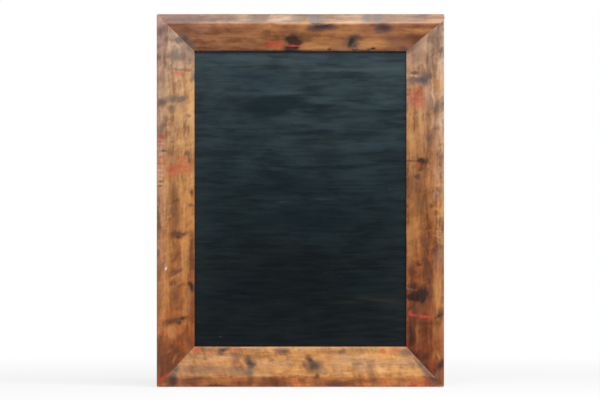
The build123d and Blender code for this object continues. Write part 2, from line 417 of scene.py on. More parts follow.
@dataclass(frozen=True)
class Shaken:
    """Copies of a material's coordinates, each shaken by a noise, so that the outlines of marks stray.

    Attributes:
        copies: The copies, by how far they are shaken in millimetres.
    """

    copies: dict[float, Value]

    @classmethod
    def of(cls, graph: Graph, grain: Grain, slender: float) -> "Shaken":
        """Return the coordinates of the graph, shaken in several strengths.

        Args:
            graph: The material's graph.
            grain: The way in which the noise is drawn out.
            slender: How many times longer than wide it is.

        Returns:
            The shaken copies.
        """
        copies: dict[float, Value] = {}
        for reach in SHAKE_REACHES:
            width = SHAKE_WIDTH * reach * MM
            scale = grain.stretch(slender * width, width)
            moves = []
            for shift in SHAKE_SHIFTS:
                spot = graph.mapped(graph.place, Location=(shift,) * 3, Scale=scale)
                centred = graph.math("SUBTRACT", graph.noise(spot, 1.0, *SHAKE_DETAIL), 0.5)
                moves.append(graph.math("MULTIPLY", centred, SHAKE_GAIN * reach * MM))
            move = graph.add("ShaderNodeCombineXYZ", {"X": moves[0], "Z": moves[1]}).outputs[0]
            copies[reach] = graph.mapped(graph.place, Location=move)
        return cls(copies)

    def under(self, mark: Mark) -> Value:
        """Return the copy that suits a mark of that size."""
        size = min(mark.half_width, mark.half_height)
        return self.copies[max((reach for reach in self.copies if reach <= size), default=min(self.copies))]


def spread(graph: Graph, rows: Iterable[Mark], look: MarkLook, shaken: Shaken) -> Value:
    """Return where the marks of one kind lie, from 0 to 1.

    Args:
        graph: The material's graph.
        rows: The marks.
        look: How that kind shows.
        shaken: The coordinates that they lie on.

    Returns:
        The marks' combined mask.
    """
    total: Value = 0.0
    rim = 1 + look.softness
    for mark in rows:
        inside = graph.mapped(
            shaken.under(mark),
            "TEXTURE",
            Location=(mark.across * MM, 0.0, mark.up * MM),
            Rotation=(0.0, math.radians(mark.turn), 0.0),
            Scale=(mark.half_width * rim * MM, RIGHT_THROUGH, mark.half_height * rim * MM),
        )
        ball = graph.add("ShaderNodeTexGradient", {"Vector": inside}, gradient_type="SPHERICAL")
        shown = graph.fit(ball.outputs["Fac"], 0.0, 2 * look.softness / rim, 0.0, mark.weight)
        total = graph.math("ADD", total, shown, clamp=True)
    return total


def marked(graph: Graph, colour: Value, table: Marks, shaken: Shaken, strokes: Value) -> Value:
    """Return the colour with all its marks on it.

    Args:
        graph: The material's graph.
        colour: The colour under the marks.
        table: The marks, by kind.
        shaken: The coordinates that they lie on.
        strokes: The noise of the grain or the brush, which breaks them up.

    Returns:
        The marked colour.
    """
    through = graph.fit(strokes, *STROKE_RANGE)
    for kind, rows in table.items():
        look = kind.value
        shown = graph.fit(through, 0.0, 1.0, look.strength * (1 - look.broken), look.strength)
        mask = spread(graph, rows, look, shaken)
        colour = graph.mix(graph.math("MULTIPLY", mask, shown), colour, look.colour)
    return colour


# The figure of the wood, with the part that each of its noises has in the tone.
FIGURE = {
    "bands": Noise(0.26, 0.017, 3.0, 0.55),
    "streaks": Noise(0.050, 0.0055, 4.0, 0.6),
    "patches": Noise(0.036, 0.020, 5.0, 0.62),
    "flecks": Noise(0.016, 0.0017, 2.0, 0.55),
}
BAND_SHARE, STREAK_SHARE, PATCH_SHARE = 0.44, 0.23, 0.33
FIBRES = Noise(0.024, 0.0015, 2.0, 0.6)
RIPPLES = Noise(0.007, 0.023, 3.0, 0.55)
RIPPLE_LEAN = math.radians(-22)
# How slender the noise that shakes the wood is, and how far its figure is shaken, in millimetres.
WOOD_SLENDER = 2.0
WOOD_SHAKE = 4.0
# How far a face leans outwards before it counts as the bevel, whose own colours also paint the light and shade
# of that face.
BEVEL_FACING = (0.2, 0.42)
# The tones of the figure, and where fibres, flecks and rubbed edges show and how strongly; the rubbed edges
# are lightened convex edges, wear that also paints a highlight along the ridges.
FIGURE_DARK: Colour = (0.48, 0.40, 0.34)
FIGURE_LIGHT: Colour = (1.40, 1.50, 1.60)
FLECK: Colour = (0.10, 0.042, 0.022)
RUBBED_EDGE_AND_HIGHLIGHT: Colour = (0.66, 0.45, 0.30)
FIBRE_SHADE = (0.90, 1.09)
FLECK_SHARE = (0.62, 0.74, 0.0, 0.25)
RUBBED_EDGE_AND_HIGHLIGHT_SHARE = (0.54, 0.66, 0.0, 0.3)
# The bare wood of the back, and the rim over which the stain ends.
SAWN: Stations = ((0.32, (0.40, 0.26, 0.13)), (0.50, (0.60, 0.42, 0.24)), (0.66, (0.74, 0.56, 0.36)))
SAWN_ROUGH = 0.8
STAIN_RIM = 0.0005
# The wax: how rough it is over patches and fibres, its shine, and the relief of the wood under it.
WAX_ROUGH = (0.40, 0.54)
FIBRE_ROUGH = (-0.04, 0.06)
WAX_SHINE = 0.4
WOOD_RELIEF = (Relief("streaks", 0.0004, 0.4), Relief("ripples", 0.0004, 0.4), Relief("fibres", 0.00015, 0.5))


@dataclass(frozen=True)
class WoodFinish:
    """Worn, stained and waxed softwood of one frame member, bare on its back, with painted light and shade in
    its colours.

    Attributes:
        name: The material's name.
        grain: The way its grain runs.
        seed: Moves the pattern, so that no two members share it.
        outward: The way from the writing opening to the member's outer edge.
        stations: Its tone at places along it, in millimetres, which also holds painted light and shade: on the
            stiles it grows paler towards the top as a painted sheen.
        bevel_stations: The tone of the bevel outside its ridge, at places along it, which also paints the
            light and shade of that face.
        table: The marks on it, by kind.
        reach: How far its noise strays from the middle tone to its darkest and lightest.
        curl: How strongly ripples across the grain show.
        back_depth: Y of the face behind which the wood is bare.
    """

    name: str
    grain: Grain
    seed: float
    outward: Triple
    stations: Stations
    bevel_stations: Stations
    table: Marks
    reach: float
    curl: float
    back_depth: float = 0.0094

    def _figure(self, graph: Graph, shaken: Shaken) -> dict[str, Value]:
        """Return the noises of the wood's figure, by name.

        Args:
            graph: The material's graph.
            shaken: Its shaken coordinates.

        Returns:
            The noises.
        """
        wood = graph.mapped(shaken.copies[WOOD_SHAKE], Location=(self.seed,) * 3)
        figure = {name: noise.over(graph, wood, self.grain) for name, noise in FIGURE.items()}
        figure["fibres"] = FIBRES.over(graph, graph.place, self.grain)
        size = self.grain.size(RIPPLES.along, RIPPLES.across)
        leaning = graph.mapped(wood, "TEXTURE", Rotation=(0.0, RIPPLE_LEAN, 0.0), Scale=size)
        figure["ripples"] = graph.noise(leaning, 1.0, RIPPLES.detail, RIPPLES.rough)
        return figure

    def _tone_along(self, graph: Graph, stations: Stations) -> Value:
        """Return the tone that changes along the member.

        Args:
            graph: The material's graph.
            stations: The tone at places along the member, in millimetres.

        Returns:
            The tone.
        """
        first, last = stations[0][0], stations[-1][0]
        spot = graph.axis("X" if self.grain is Grain.SIDEWAYS else "Z")
        run = graph.run(spot, first * MM, last * MM)
        return graph.ramp(run, [((place - first) / (last - first), tone) for place, tone in stations])

    def _stained_and_shaded(self, graph: Graph, figure: dict[str, Value]) -> Value:
        """Return the colour of the stained wood with the painted light and shade of its bevel and edges,
        without its marks.

        Args:
            graph: The material's graph.
            figure: The noises of its figure.

        Returns:
            The colour.
        """
        geometry = graph.add("ShaderNodeNewGeometry")
        sides = {0: geometry.outputs["True Normal"], 1: self.outward}
        facing = graph.add("ShaderNodeVectorMath", sides, operation="DOT_PRODUCT").outputs["Value"]
        main, bevel = (self._tone_along(graph, stations) for stations in (self.stations, self.bevel_stations))
        # The bevel's own colour, chosen by which way the face points, paints light and shade on it besides the
        # stain.
        colour = graph.mix(graph.fit(facing, *BEVEL_FACING), main, bevel)
        tone = graph.total(
            (figure["bands"], BAND_SHARE - self.curl),
            (figure["streaks"], STREAK_SHARE),
            (figure["patches"], PATCH_SHARE),
            (figure["ripples"], self.curl),
        )
        stops = ((0.5 - self.reach, FIGURE_DARK), (0.5, WHITE), (0.5 + self.reach, FIGURE_LIGHT))
        colour = graph.mix(1.0, colour, graph.ramp(tone, stops), "MULTIPLY")
        fine = graph.fit(figure["fibres"], *NOISE_RANGE, *FIBRE_SHADE)
        shade = graph.add("ShaderNodeCombineColor", {0: fine, 1: fine, 2: fine})
        colour = graph.mix(1.0, colour, shade.outputs[0], "MULTIPLY")
        colour = graph.mix(graph.fit(figure["flecks"], *FLECK_SHARE), colour, FLECK)
        # Convex edges are lightened: rubbed wear, and a painted highlight along the ridges.
        worn = graph.fit(geometry.outputs["Pointiness"], *RUBBED_EDGE_AND_HIGHLIGHT_SHARE)
        return graph.mix(graph.math("MULTIPLY", worn, figure["patches"]), colour, RUBBED_EDGE_AND_HIGHLIGHT)

    def material(self) -> bpy.types.Material:
        """Make the wood.

        Returns:
            The finished wood.
        """
        graph = Graph.of_material(self.name)
        shaken = Shaken.of(graph, self.grain, WOOD_SLENDER)
        figure = self._figure(graph, shaken)
        streaks = figure["streaks"]
        colour = marked(graph, self._stained_and_shaded(graph, figure), self.table, shaken, streaks)
        bare = graph.fit(graph.axis("Y"), self.back_depth, self.back_depth + STAIN_RIM)
        colour = graph.mix(bare, colour, graph.ramp(streaks, SAWN))
        waxed = graph.fit(figure["patches"], *NOISE_RANGE, *WAX_ROUGH)
        waxed = graph.math("ADD", waxed, graph.fit(figure["fibres"], *NOISE_RANGE, *FIBRE_ROUGH))
        rough = graph.math("MAXIMUM", waxed, graph.math("MULTIPLY", bare, SAWN_ROUGH))
        normal = relieved(graph, figure, WOOD_RELIEF)
        shine = {"Roughness": rough, "Specular IOR Level": WAX_SHINE}
        return graph.finish({"Base Color": colour, "Normal": normal, **shine})


# The noises of the brushwork, and the part that three of them have in how chalky the paint looks.
BRUSHWORK = {
    "strokes": Noise(0.075, 0.0075, 4.0, 0.6),
    "bristles": Noise(0.04, 0.0018, 2.0, 0.6),
    "clouds": Noise(0.085, 0.034, 5.0, 0.6),
    "tint": Noise(0.16, 0.05, 3.0, 0.6),
}
CLOUD_SHARE, STROKE_SHARE, BRISTLE_SHARE = 0.55, 0.37, 0.08
BRUSH_SLENDER = 5.0
# Where the chalky streaks and the layer of chalk and painted sheen show, and how steeply that layer gathers
# upwards.
STREAK_RANGE = (0.40, 0.60)
FILM_RANGE = (0.38, 0.62, 0.35, 1.15)
DUST_AND_SHEEN_RISE = 2.2
# Tints from place to place and from the foot to the head.
TINTS: Stations = ((0.38, (0.93, 1.0, 1.03)), (0.5, WHITE), (0.62, (1.02, 1.02, 0.96)))
COOLER: Stations = ((0.1, WHITE), (0.4, (0.80, 1.0, 1.02)), (0.75, (0.86, 1.0, 1.02)), (1.0, WHITE))
# The sheet under the paint, and the depths between which the paint ends on its edges.
FIBREBOARD: Stations = ((0.3, (0.30, 0.20, 0.12)), (0.7, (0.44, 0.31, 0.20)))
FIBREBOARD_FUZZ = (420.0, 4.0, 0.7)
PAINT_END = (0.0004, 0.0008)
# How rough the paint is over its strokes, how much rougher the sheet is, the paint's shine and its relief.
PAINT_ROUGH = (0.40, 0.52)
SHEET_ROUGHER = 0.3
PAINT_SHINE = 0.22
PAINT_RELIEF = (Relief("bristles", 0.0002, 0.5), Relief("strokes", 0.0006, 0.35))


@dataclass(frozen=True)
class BoardPaint:
    """Brushed blackboard paint on the front of a sheet of fibreboard, bare on its back and edges, with chalk
    and a painted sheen towards the top.

    Attributes:
        name: The material's name.
        base: Colour of the paint.
        lift: Colour of its chalky streaks.
        dust_and_sheen: Colour of the chalk rubbed into it towards the top, which is also a painted sheen
            there.
        front: Y of the painted face.
        table: The marks on it, by kind.
        foot: Z below which neither chalk nor painted sheen shows.
        head: Z at which there is most.
    """

    name: str
    base: Colour
    lift: Colour
    dust_and_sheen: Colour
    front: float
    table: Marks
    foot: float = 0.08
    head: float = 0.67

    def _paint(self, graph: Graph, brush: dict[str, Value]) -> Value:
        """Return the paint's colour, without its marks.

        Args:
            graph: The material's graph.
            brush: The noises of its brushwork, by name.

        Returns:
            The colour.
        """
        chalky = graph.total(
            (brush["clouds"], CLOUD_SHARE),
            (brush["strokes"], STROKE_SHARE),
            (brush["bristles"], BRISTLE_SHARE),
        )
        height = graph.run(graph.axis("Z"), self.foot, self.head)
        # The layer that thickens towards the top is chalk on the paint and also a painted sheen.
        rise = graph.math("POWER", height, DUST_AND_SHEEN_RISE)
        dust_and_sheen_film = graph.math("MULTIPLY", graph.fit(chalky, *FILM_RANGE), rise)
        paint = graph.mix(graph.fit(chalky, *STREAK_RANGE), self.base, self.lift)
        paint = graph.mix(dust_and_sheen_film, paint, self.dust_and_sheen)
        paint = graph.mix(1.0, paint, graph.ramp(brush["tint"], TINTS), "MULTIPLY")
        return graph.mix(1.0, paint, graph.ramp(height, COOLER), "MULTIPLY")

    def material(self) -> bpy.types.Material:
        """Make the paint and the sheet under it.

        Returns:
            The painted sheet.
        """
        graph = Graph.of_material(self.name)
        brush = {name: noise.over(graph, graph.place, Grain.ON_SHEET) for name, noise in BRUSHWORK.items()}
        strokes = brush["strokes"]
        shaken = Shaken.of(graph, Grain.SIDEWAYS, BRUSH_SLENDER)
        paint = marked(graph, self._paint(graph, brush), self.table, shaken, strokes)
        board = graph.ramp(graph.noise(graph.place, *FIBREBOARD_FUZZ), FIBREBOARD)
        start, end = PAINT_END
        bare = graph.fit(graph.axis("Y"), self.front + start, self.front + end)
        dull = graph.fit(strokes, *NOISE_RANGE, *PAINT_ROUGH)
        dull = graph.math("ADD", dull, graph.math("MULTIPLY", bare, SHEET_ROUGHER))
        normal = relieved(graph, brush, PAINT_RELIEF)
        colour = graph.mix(bare, paint, board)
        shine = {"Roughness": dull, "Specular IOR Level": PAINT_SHINE}
        return graph.finish({"Base Color": colour, "Normal": normal, **shine})


@dataclass(frozen=True)
class PlatedSteel:
    """Plated steel with faint clouding and fine scratches.

    Attributes:
        name: The material's name.
        colour: Colour of the plating.
        tarnish: Colour where it has dulled.
        rough: Its roughness where it is clean.
        duller: How much rougher it is where it has dulled.
        clouds: How many clouds there are to the metre, with their detail and roughness.
        dulled: The range of the clouds over which the plating dulls.
        scratching: How many scratches there are to the metre on each axis.
        relief: How the scratches are pressed in.
    """

    name: str
    colour: Colour
    tarnish: Colour
    rough: float
    duller: float = 0.16
    clouds: Triple = (260.0, 4.0, 0.6)
    dulled: tuple[float, float] = (0.42, 0.72)
    scratching: Triple = (2200.0, 400.0, 500.0)
    relief: Relief = Relief("scratches", 0.00004, 0.5)

    def material(self) -> bpy.types.Material:
        """Make the plating.

        Returns:
            The plated steel.
        """
        graph = Graph.of_material(self.name)
        clouds = graph.noise(graph.place, *self.clouds)
        scratches = graph.noise(graph.mapped(graph.place, Scale=self.scratching))
        colour = graph.mix(graph.fit(clouds, *self.dulled), self.colour, self.tarnish)
        rough = graph.fit(clouds, *NOISE_RANGE, self.rough, self.rough + self.duller)
        normal = relieved(graph, {"scratches": scratches}, (self.relief,))
        return graph.finish({"Base Color": colour, "Metallic": 1.0, "Roughness": rough, "Normal": normal})


@dataclass(frozen=True)
class Speckled:
    """A matt material with a fine speckle, such as rubber or pressed wood.

    Attributes:
        name: The material's name.
        dark: Colour of the dark specks.
        light: Colour of the light ones.
        scale: How many specks to the metre.
        rough: Its roughness.
        detail: The detail and roughness of the noise of its specks.
        stops: Where that noise is darkest and lightest.
        relief: How the specks are pressed in.
    """

    name: str
    dark: Colour
    light: Colour
    scale: float
    rough: float
    detail: tuple[float, float] = (4.0, 0.65)
    stops: tuple[float, float] = (0.32, 0.68)
    relief: Relief = Relief("specks", 0.0001, 0.5)

    def material(self) -> bpy.types.Material:
        """Make the speckle.

        Returns:
            The speckled material.
        """
        graph = Graph.of_material(self.name)
        specks = graph.noise(graph.place, self.scale, *self.detail)
        colour = graph.ramp(specks, zip(self.stops, (self.dark, self.light)))
        normal = relieved(graph, {"specks": specks}, (self.relief,))
        return graph.finish({"Base Color": colour, "Roughness": self.rough, "Normal": normal})


@dataclass(frozen=True)
class Section:
    """Section of the frame's members. Depths run forwards from the flat back.

    Attributes:
        sight_depth: Depth of the lip at the writing opening.
        ridge_depth: Depth of the ridge.
        edge_depth: Depth of the outer edge.
        ridge_share: Where the ridge lies, from the opening to the outer edge.
        rebate_depth: Depth of the rebate that holds the panel.
        rebate_width: Its width.
        arris: Width of the eased outer arrises and ridge.
        sight_arris: Width of the eased arris at the opening.
        planed_width: Width, at the ridge, of the facet planed on the bottom rail.
    """

    sight_depth: float = 0.018
    ridge_depth: float = 0.032
    edge_depth: float = 0.020
    ridge_share: float = 0.735
    rebate_depth: float = 0.0122
    rebate_width: float = 0.010
    arris: float = 0.0016
    sight_arris: float = 0.0008
    planed_width: float = 0.019


@dataclass(frozen=True)
class Corner:
    """A corner joint, as the line from the opening's corner to the outer edge.

    Attributes:
        inner: Across and up of its inner end.
        outer: Across and up of its outer end.
        back: Y of the frame's back.
    """

    inner: tuple[float, float]
    outer: tuple[float, float]
    back: float

    def point(self, share: float, depth: float) -> Vector:
        """Find a point of the joint.

        Args:
            share: Its place on the line, from 0 at the inner end to 1 at the outer one.
            depth: How far it lies in front of the back.

        Returns:
            The point.
        """
        across = self.inner[0] + share * (self.outer[0] - self.inner[0])
        up = self.inner[1] + share * (self.outer[1] - self.inner[1])
        return Vector((across, self.back - depth, up))

    def normal(self) -> Vector:
        """Return the normal of the joint's plane."""
        return (self.point(1, 0) - self.point(0, 0)).cross(Vector((0, 1, 0))).normalized()


@dataclass(frozen=True)
class Dent:
    """A dent or a chip in the wood, in millimetres on the board's front.

    Attributes:
        across: Its middle, to the right of the board's middle.
        up: Its middle, above the board's bottom edge.
        reach: How far it spreads.
        depth: How deep it is.
    """

    across: float
    up: float
    reach: float
    depth: float


def dents(*rows: tuple[float, ...]) -> tuple[Dent, ...]:
    """Return dents from rows that hold their fields in order."""
    return tuple(Dent(*row) for row in rows)


def clear_selection() -> None:
    """Leave every object unselected."""
    bpy.ops.object.select_all(action="DESELECT")


def add_block(name: str, low: Vector, high: Vector) -> bpy.types.Object:
    """Add a block between two corners, with its place in its mesh.

    Args:
        name: The object's name.
        low: Its lowest corner.
        high: Its highest corner.

    Returns:
        The block, active and alone selected.
    """
    clear_selection()
    bpy.ops.mesh.primitive_cube_add(size=1.0, location=(low + high) / 2)
    block = bpy.context.object
    block.name = name
    block.data.name = name
    block.scale = high - low
    bpy.ops.object.transform_apply(location=True, rotation=True, scale=True)
    return block


def saw(point: Vector, normal: Vector, clear: bool = True) -> None:
    """Cut the mesh that is being edited at a plane.

    Args:
        point: A point of the plane.
        normal: Its normal.
        clear: Whether what lies on the normal's side is taken off and the cut is closed.
    """
    bpy.ops.mesh.select_all(action="SELECT")
    bpy.ops.mesh.bisect(plane_co=point, plane_no=normal, use_fill=clear, clear_outer=clear)


def plane_through(first: Vector, second: Vector, third: Vector) -> tuple[Vector, Vector]:
    """Return the plane through three points as a point and a normal that points forwards."""
    normal = (second - first).cross(third - first).normalized()
    return first, normal if normal.y < 0 else -normal


def apply_modifier(piece: bpy.types.Object, kind: str, **settings: Any) -> None:
    """Add a modifier to a piece, set it and apply it.

    Args:
        piece: The active piece.
        kind: The modifier's type.
        **settings: Properties to set on it.
    """
    modifier = piece.modifiers.new(kind.lower(), kind)
    for key, value in settings.items():
        setattr(modifier, key, value)
    bpy.ops.object.modifier_apply(modifier=modifier.name)


def wear_texture(name: str, size: float, depth: int) -> bpy.types.Texture:
    """Return a cloud texture for wear.

    Args:
        name: The texture's name.
        size: Size of its clouds, in metres.
        depth: How many finer layers it has.

    Returns:
        The texture.
    """
    texture = bpy.data.textures.new(name, "CLOUDS")
    texture.noise_scale = size
    texture.noise_depth = depth
    return texture


# How near a point has to be to count as on a face or on a line, and the least length of an eased edge.
ON_FACE = 1e-5
ON_LINE = 1e-4
LONG_EDGE = 0.3
# Steps of an eased arris, times that slices and strips are halved, and the sharpest angle that looks smooth.
ARRIS_STEPS = 3
FINE_CUTS = 2
SMOOTH_ANGLE = math.radians(28)
# How far wear keeps off the rebate's face, its side and the back.
LIP_MARGIN = 0.002
REBATE_MARGIN = 0.01
BACK_MARGIN = 0.001
# How far wear reaches from an arris, and how much depth counts beside width there.
ARRIS_WEAR = 0.004
FLANK_SHARE = 0.3
# What each layer of wear sinks, the size of its clouds, how many finer layers they have and its depth.
WEAR_LAYERS = (("front", 0.11, 1, 0.0011), ("front", 0.018, 2, 0.0004), ("arris", 0.014, 3, 0.0007))


@dataclass
class FrameMember:
    """One rail or stile of the frame, worn along its arrises, which stands for its CAD node.

    Attributes:
        node: The CAD node that it stands for.
        outward: The way from the writing opening to the outer edge.
        corners: The joints at its two ends.
        ridge: The ends of its ridge line.
        edge: A point on the front of its outer edge.
        finish: Its wood.
        section: Its section.
        ends: More planes that end it, each as a point and a normal.
        dents: The dents in it.
        spare: How far the blank runs past the joints.
        slice_length: Length of its slices before they are divided.
        strip_width: Width of its strips before they are divided.
        blunt: How far the board's corners are worn off.
    """

    node: str
    outward: Vector
    corners: tuple[Corner, Corner]
    ridge: tuple[Vector, Vector]
    edge: Vector
    finish: WoodFinish
    section: Section
    ends: tuple[tuple[Vector, Vector], ...] = ()
    dents: tuple[Dent, ...] = ()
    spare: float = 0.02
    slice_length: float = 0.011
    strip_width: float = 0.0095
    blunt: float = 0.0024

    def __post_init__(self) -> None:
        """Work out the member's box and the way along it."""
        self.low, self.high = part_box(self.node)
        self.along = Vector((abs(self.outward.z), 0.0, abs(self.outward.x)))
        self.back = self.high.y
        self.middle = (self.low + self.high) / 2
        self.sight = self.corners[0].point(0, 0).dot(self.outward)
        self.outer = max(self.low.dot(self.outward), self.high.dot(self.outward))
        self.line = (self.ridge[1] - self.ridge[0]).normalized()

    def _off_ridge(self, spot: Vector) -> float:
        """Return how far a point lies from the ridge line."""
        return (spot - self.ridge[0]).cross(self.line).length

    def _blank(self) -> bpy.types.Object:
        """Add the member's blank with its rebate cut.

        Returns:
            The blank, active and alone selected.
        """
        spare = self.along * self.spare
        low = Vector((self.low.x, self.back - self.section.ridge_depth, self.low.z)) - spare
        blank = add_block("worn_" + self.node, low, self.high + spare)
        centre = self.middle + self.outward * (self.sight - self.middle.dot(self.outward))
        reach = Vector(map(abs, self.along + self.outward * self.section.rebate_width))
        depth = self.section.rebate_depth
        near = Vector((centre.x, self.back - depth, centre.z)) - reach
        far = Vector((centre.x, self.back + depth, centre.z)) + reach
        cutter = add_block("rebate_cutter", near, far)
        clear_selection()
        blank.select_set(True)
        bpy.context.view_layer.objects.active = blank
        apply_modifier(blank, "BOOLEAN", object=cutter, operation="DIFFERENCE", solver="EXACT")
        bpy.data.objects.remove(cutter)
        return blank

    def _ease(self, piece: bpy.types.Object) -> None:
        """Plane the two faces of the front and ease the long arrises.

        Args:
            piece: The blank, which is being edited.
        """
        first, second = (corner.point(0, self.section.sight_depth) for corner in self.corners)
        saw(*plane_through(first, second, self.ridge[0]))
        saw(*plane_through(*self.ridge, self.edge))

        def at_sight(spot: Vector) -> bool:
            """Return whether a point lies on the front arris of the writing opening."""
            return abs(spot.dot(self.outward) - self.sight) < ON_FACE and abs(spot.y - first.y) < ON_LINE

        self._bevel(piece, lambda spot: abs(spot.dot(self.outward) - self.outer) < ON_FACE, self.section.arris)
        self._bevel(piece, lambda spot: self._off_ridge(spot) < ON_LINE, self.section.arris)
        self._bevel(piece, at_sight, self.section.sight_arris)

    def _bevel(self, piece: bpy.types.Object, on_arris: Callable[[Vector], bool], width: float) -> None:
        """Bevel the long edges whose two ends lie on an arris.

        Args:
            piece: The piece that is being edited.
            on_arris: Says whether a point lies on the arris.
            width: Width of the bevel.
        """
        bpy.ops.mesh.select_all(action="DESELECT")
        bpy.ops.object.mode_set(mode="OBJECT")
        points = piece.data.vertices
        for edge in piece.data.edges:
            first, second = (points[index].co for index in edge.vertices)
            long = abs((second - first).dot(self.along)) > LONG_EDGE
            edge.select = long and on_arris(first) and on_arris(second)
        bpy.ops.object.mode_set(mode="EDIT")
        bpy.ops.mesh.select_mode(type="EDGE")
        bpy.ops.mesh.bevel(offset=width, segments=ARRIS_STEPS, affect="EDGES")

    def _divide(self, piece: bpy.types.Object) -> None:
        """Cut the planed blank into slices and strips, and divide these finely.

        Args:
            piece: The planed blank, which is being edited.
        """
        start = self.low.dot(self.along) - self.spare
        length = (self.high - self.low).dot(self.along) + 2 * self.spare
        slices = round(length / self.slice_length)
        for number in range(1, slices):
            saw(self.along * (start + length * number / slices), self.along, clear=False)
        width = self.outer - self.sight
        strips = round(width / self.strip_width)
        for number in range(1, strips):
            saw(self.outward * (self.sight + width * number / strips), self.outward, clear=False)
        bpy.ops.object.mode_set(mode="OBJECT")
        apply_modifier(piece, "SUBSURF", subdivision_type="SIMPLE", levels=FINE_CUTS)

    def _wear(self, piece: bpy.types.Object) -> None:
        """Sink the front here and there, more along its arrises, and press the dents in.

        Args:
            piece: The divided piece, which is left being edited.
        """
        front, arris = (piece.vertex_groups.new(name=name) for name in ("front", "arris"))
        for point in piece.data.vertices:
            depth = self.back - point.co.y
            out = point.co.dot(self.outward)
            lip = depth > self.section.rebate_depth + LIP_MARGIN
            rail = out > self.sight + self.section.rebate_width + REBATE_MARGIN and depth > BACK_MARGIN
            if lip or rail:
                front.add([point.index], 1.0, "REPLACE")
            off_edge = abs(out - self.outer) + FLANK_SHARE * abs(depth - self.section.edge_depth)
            near = min(self._off_ridge(point.co), off_edge)
            if lip and near < ARRIS_WEAR:
                arris.add([point.index], 1 - near / ARRIS_WEAR, "REPLACE")
        for group, size, layers, depth in WEAR_LAYERS:
            apply_modifier(
                piece,
                "DISPLACE",
                texture=wear_texture(f"{self.node}_{group}_{size}", size, layers),
                texture_coords="LOCAL",
                strength=depth,
                mid_level=1.0,
                vertex_group=group,
            )
        bpy.ops.object.mode_set(mode="EDIT")
        for dent in self.dents:
            self._press(piece, dent)

    def _press(self, piece: bpy.types.Object, dent: Dent) -> None:
        """Press one dent into the piece.

        Args:
            piece: The piece that is being edited.
            dent: The dent.
        """
        bpy.ops.mesh.select_all(action="DESELECT")
        bpy.ops.object.mode_set(mode="OBJECT")
        spot = Vector((dent.across * MM, self.low.y, dent.up * MM))
        nearest = min(piece.data.vertices, key=lambda point: (point.co - spot).length_squared)
        nearest.select = True
        bpy.ops.object.mode_set(mode="EDIT")
        bpy.ops.mesh.select_mode(type="VERT")
        bpy.ops.transform.translate(
            value=(0.0, dent.depth * MM, 0.0),
            use_proportional_edit=True,
            use_proportional_connected=True,
            proportional_edit_falloff="SMOOTH",
            proportional_size=dent.reach * MM,
        )

    def _blunt_corners(self) -> None:
        """Wear off the board's four corners, as far as they are on this member."""
        low, high = CAD_BOX
        for across, way_across in ((low.x, -1), (high.x, 1)):
            for up, way_up in ((low.z, -1), (high.z, 1)):
                diagonal = Vector((way_across, 0.0, way_up)).normalized()
                saw(Vector((across, 0.0, up)) - diagonal * self.blunt, diagonal)

    def build(self) -> bpy.types.Object:
        """Model the member, dress it and set it on the frame.

        Returns:
            The dressed member.
        """
        piece = self._blank()
        bpy.ops.object.mode_set(mode="EDIT")
        self._ease(piece)
        self._divide(piece)
        self._wear(piece)
        for corner in self.corners:
            normal = corner.normal()
            away = normal if normal.dot(self.middle - corner.point(0.5, 0)) < 0 else -normal
            saw(corner.point(0, 0), away)
        for point, normal in self.ends:
            saw(point, normal)
        self._blunt_corners()
        bpy.ops.object.mode_set(mode="OBJECT")
        bpy.ops.object.shade_smooth_by_angle(angle=SMOOTH_ANGLE)
        piece.vertex_groups.clear()
        piece.data.materials.append(self.finish.material())
        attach(piece, "frame")
        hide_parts(self.node)
        return piece


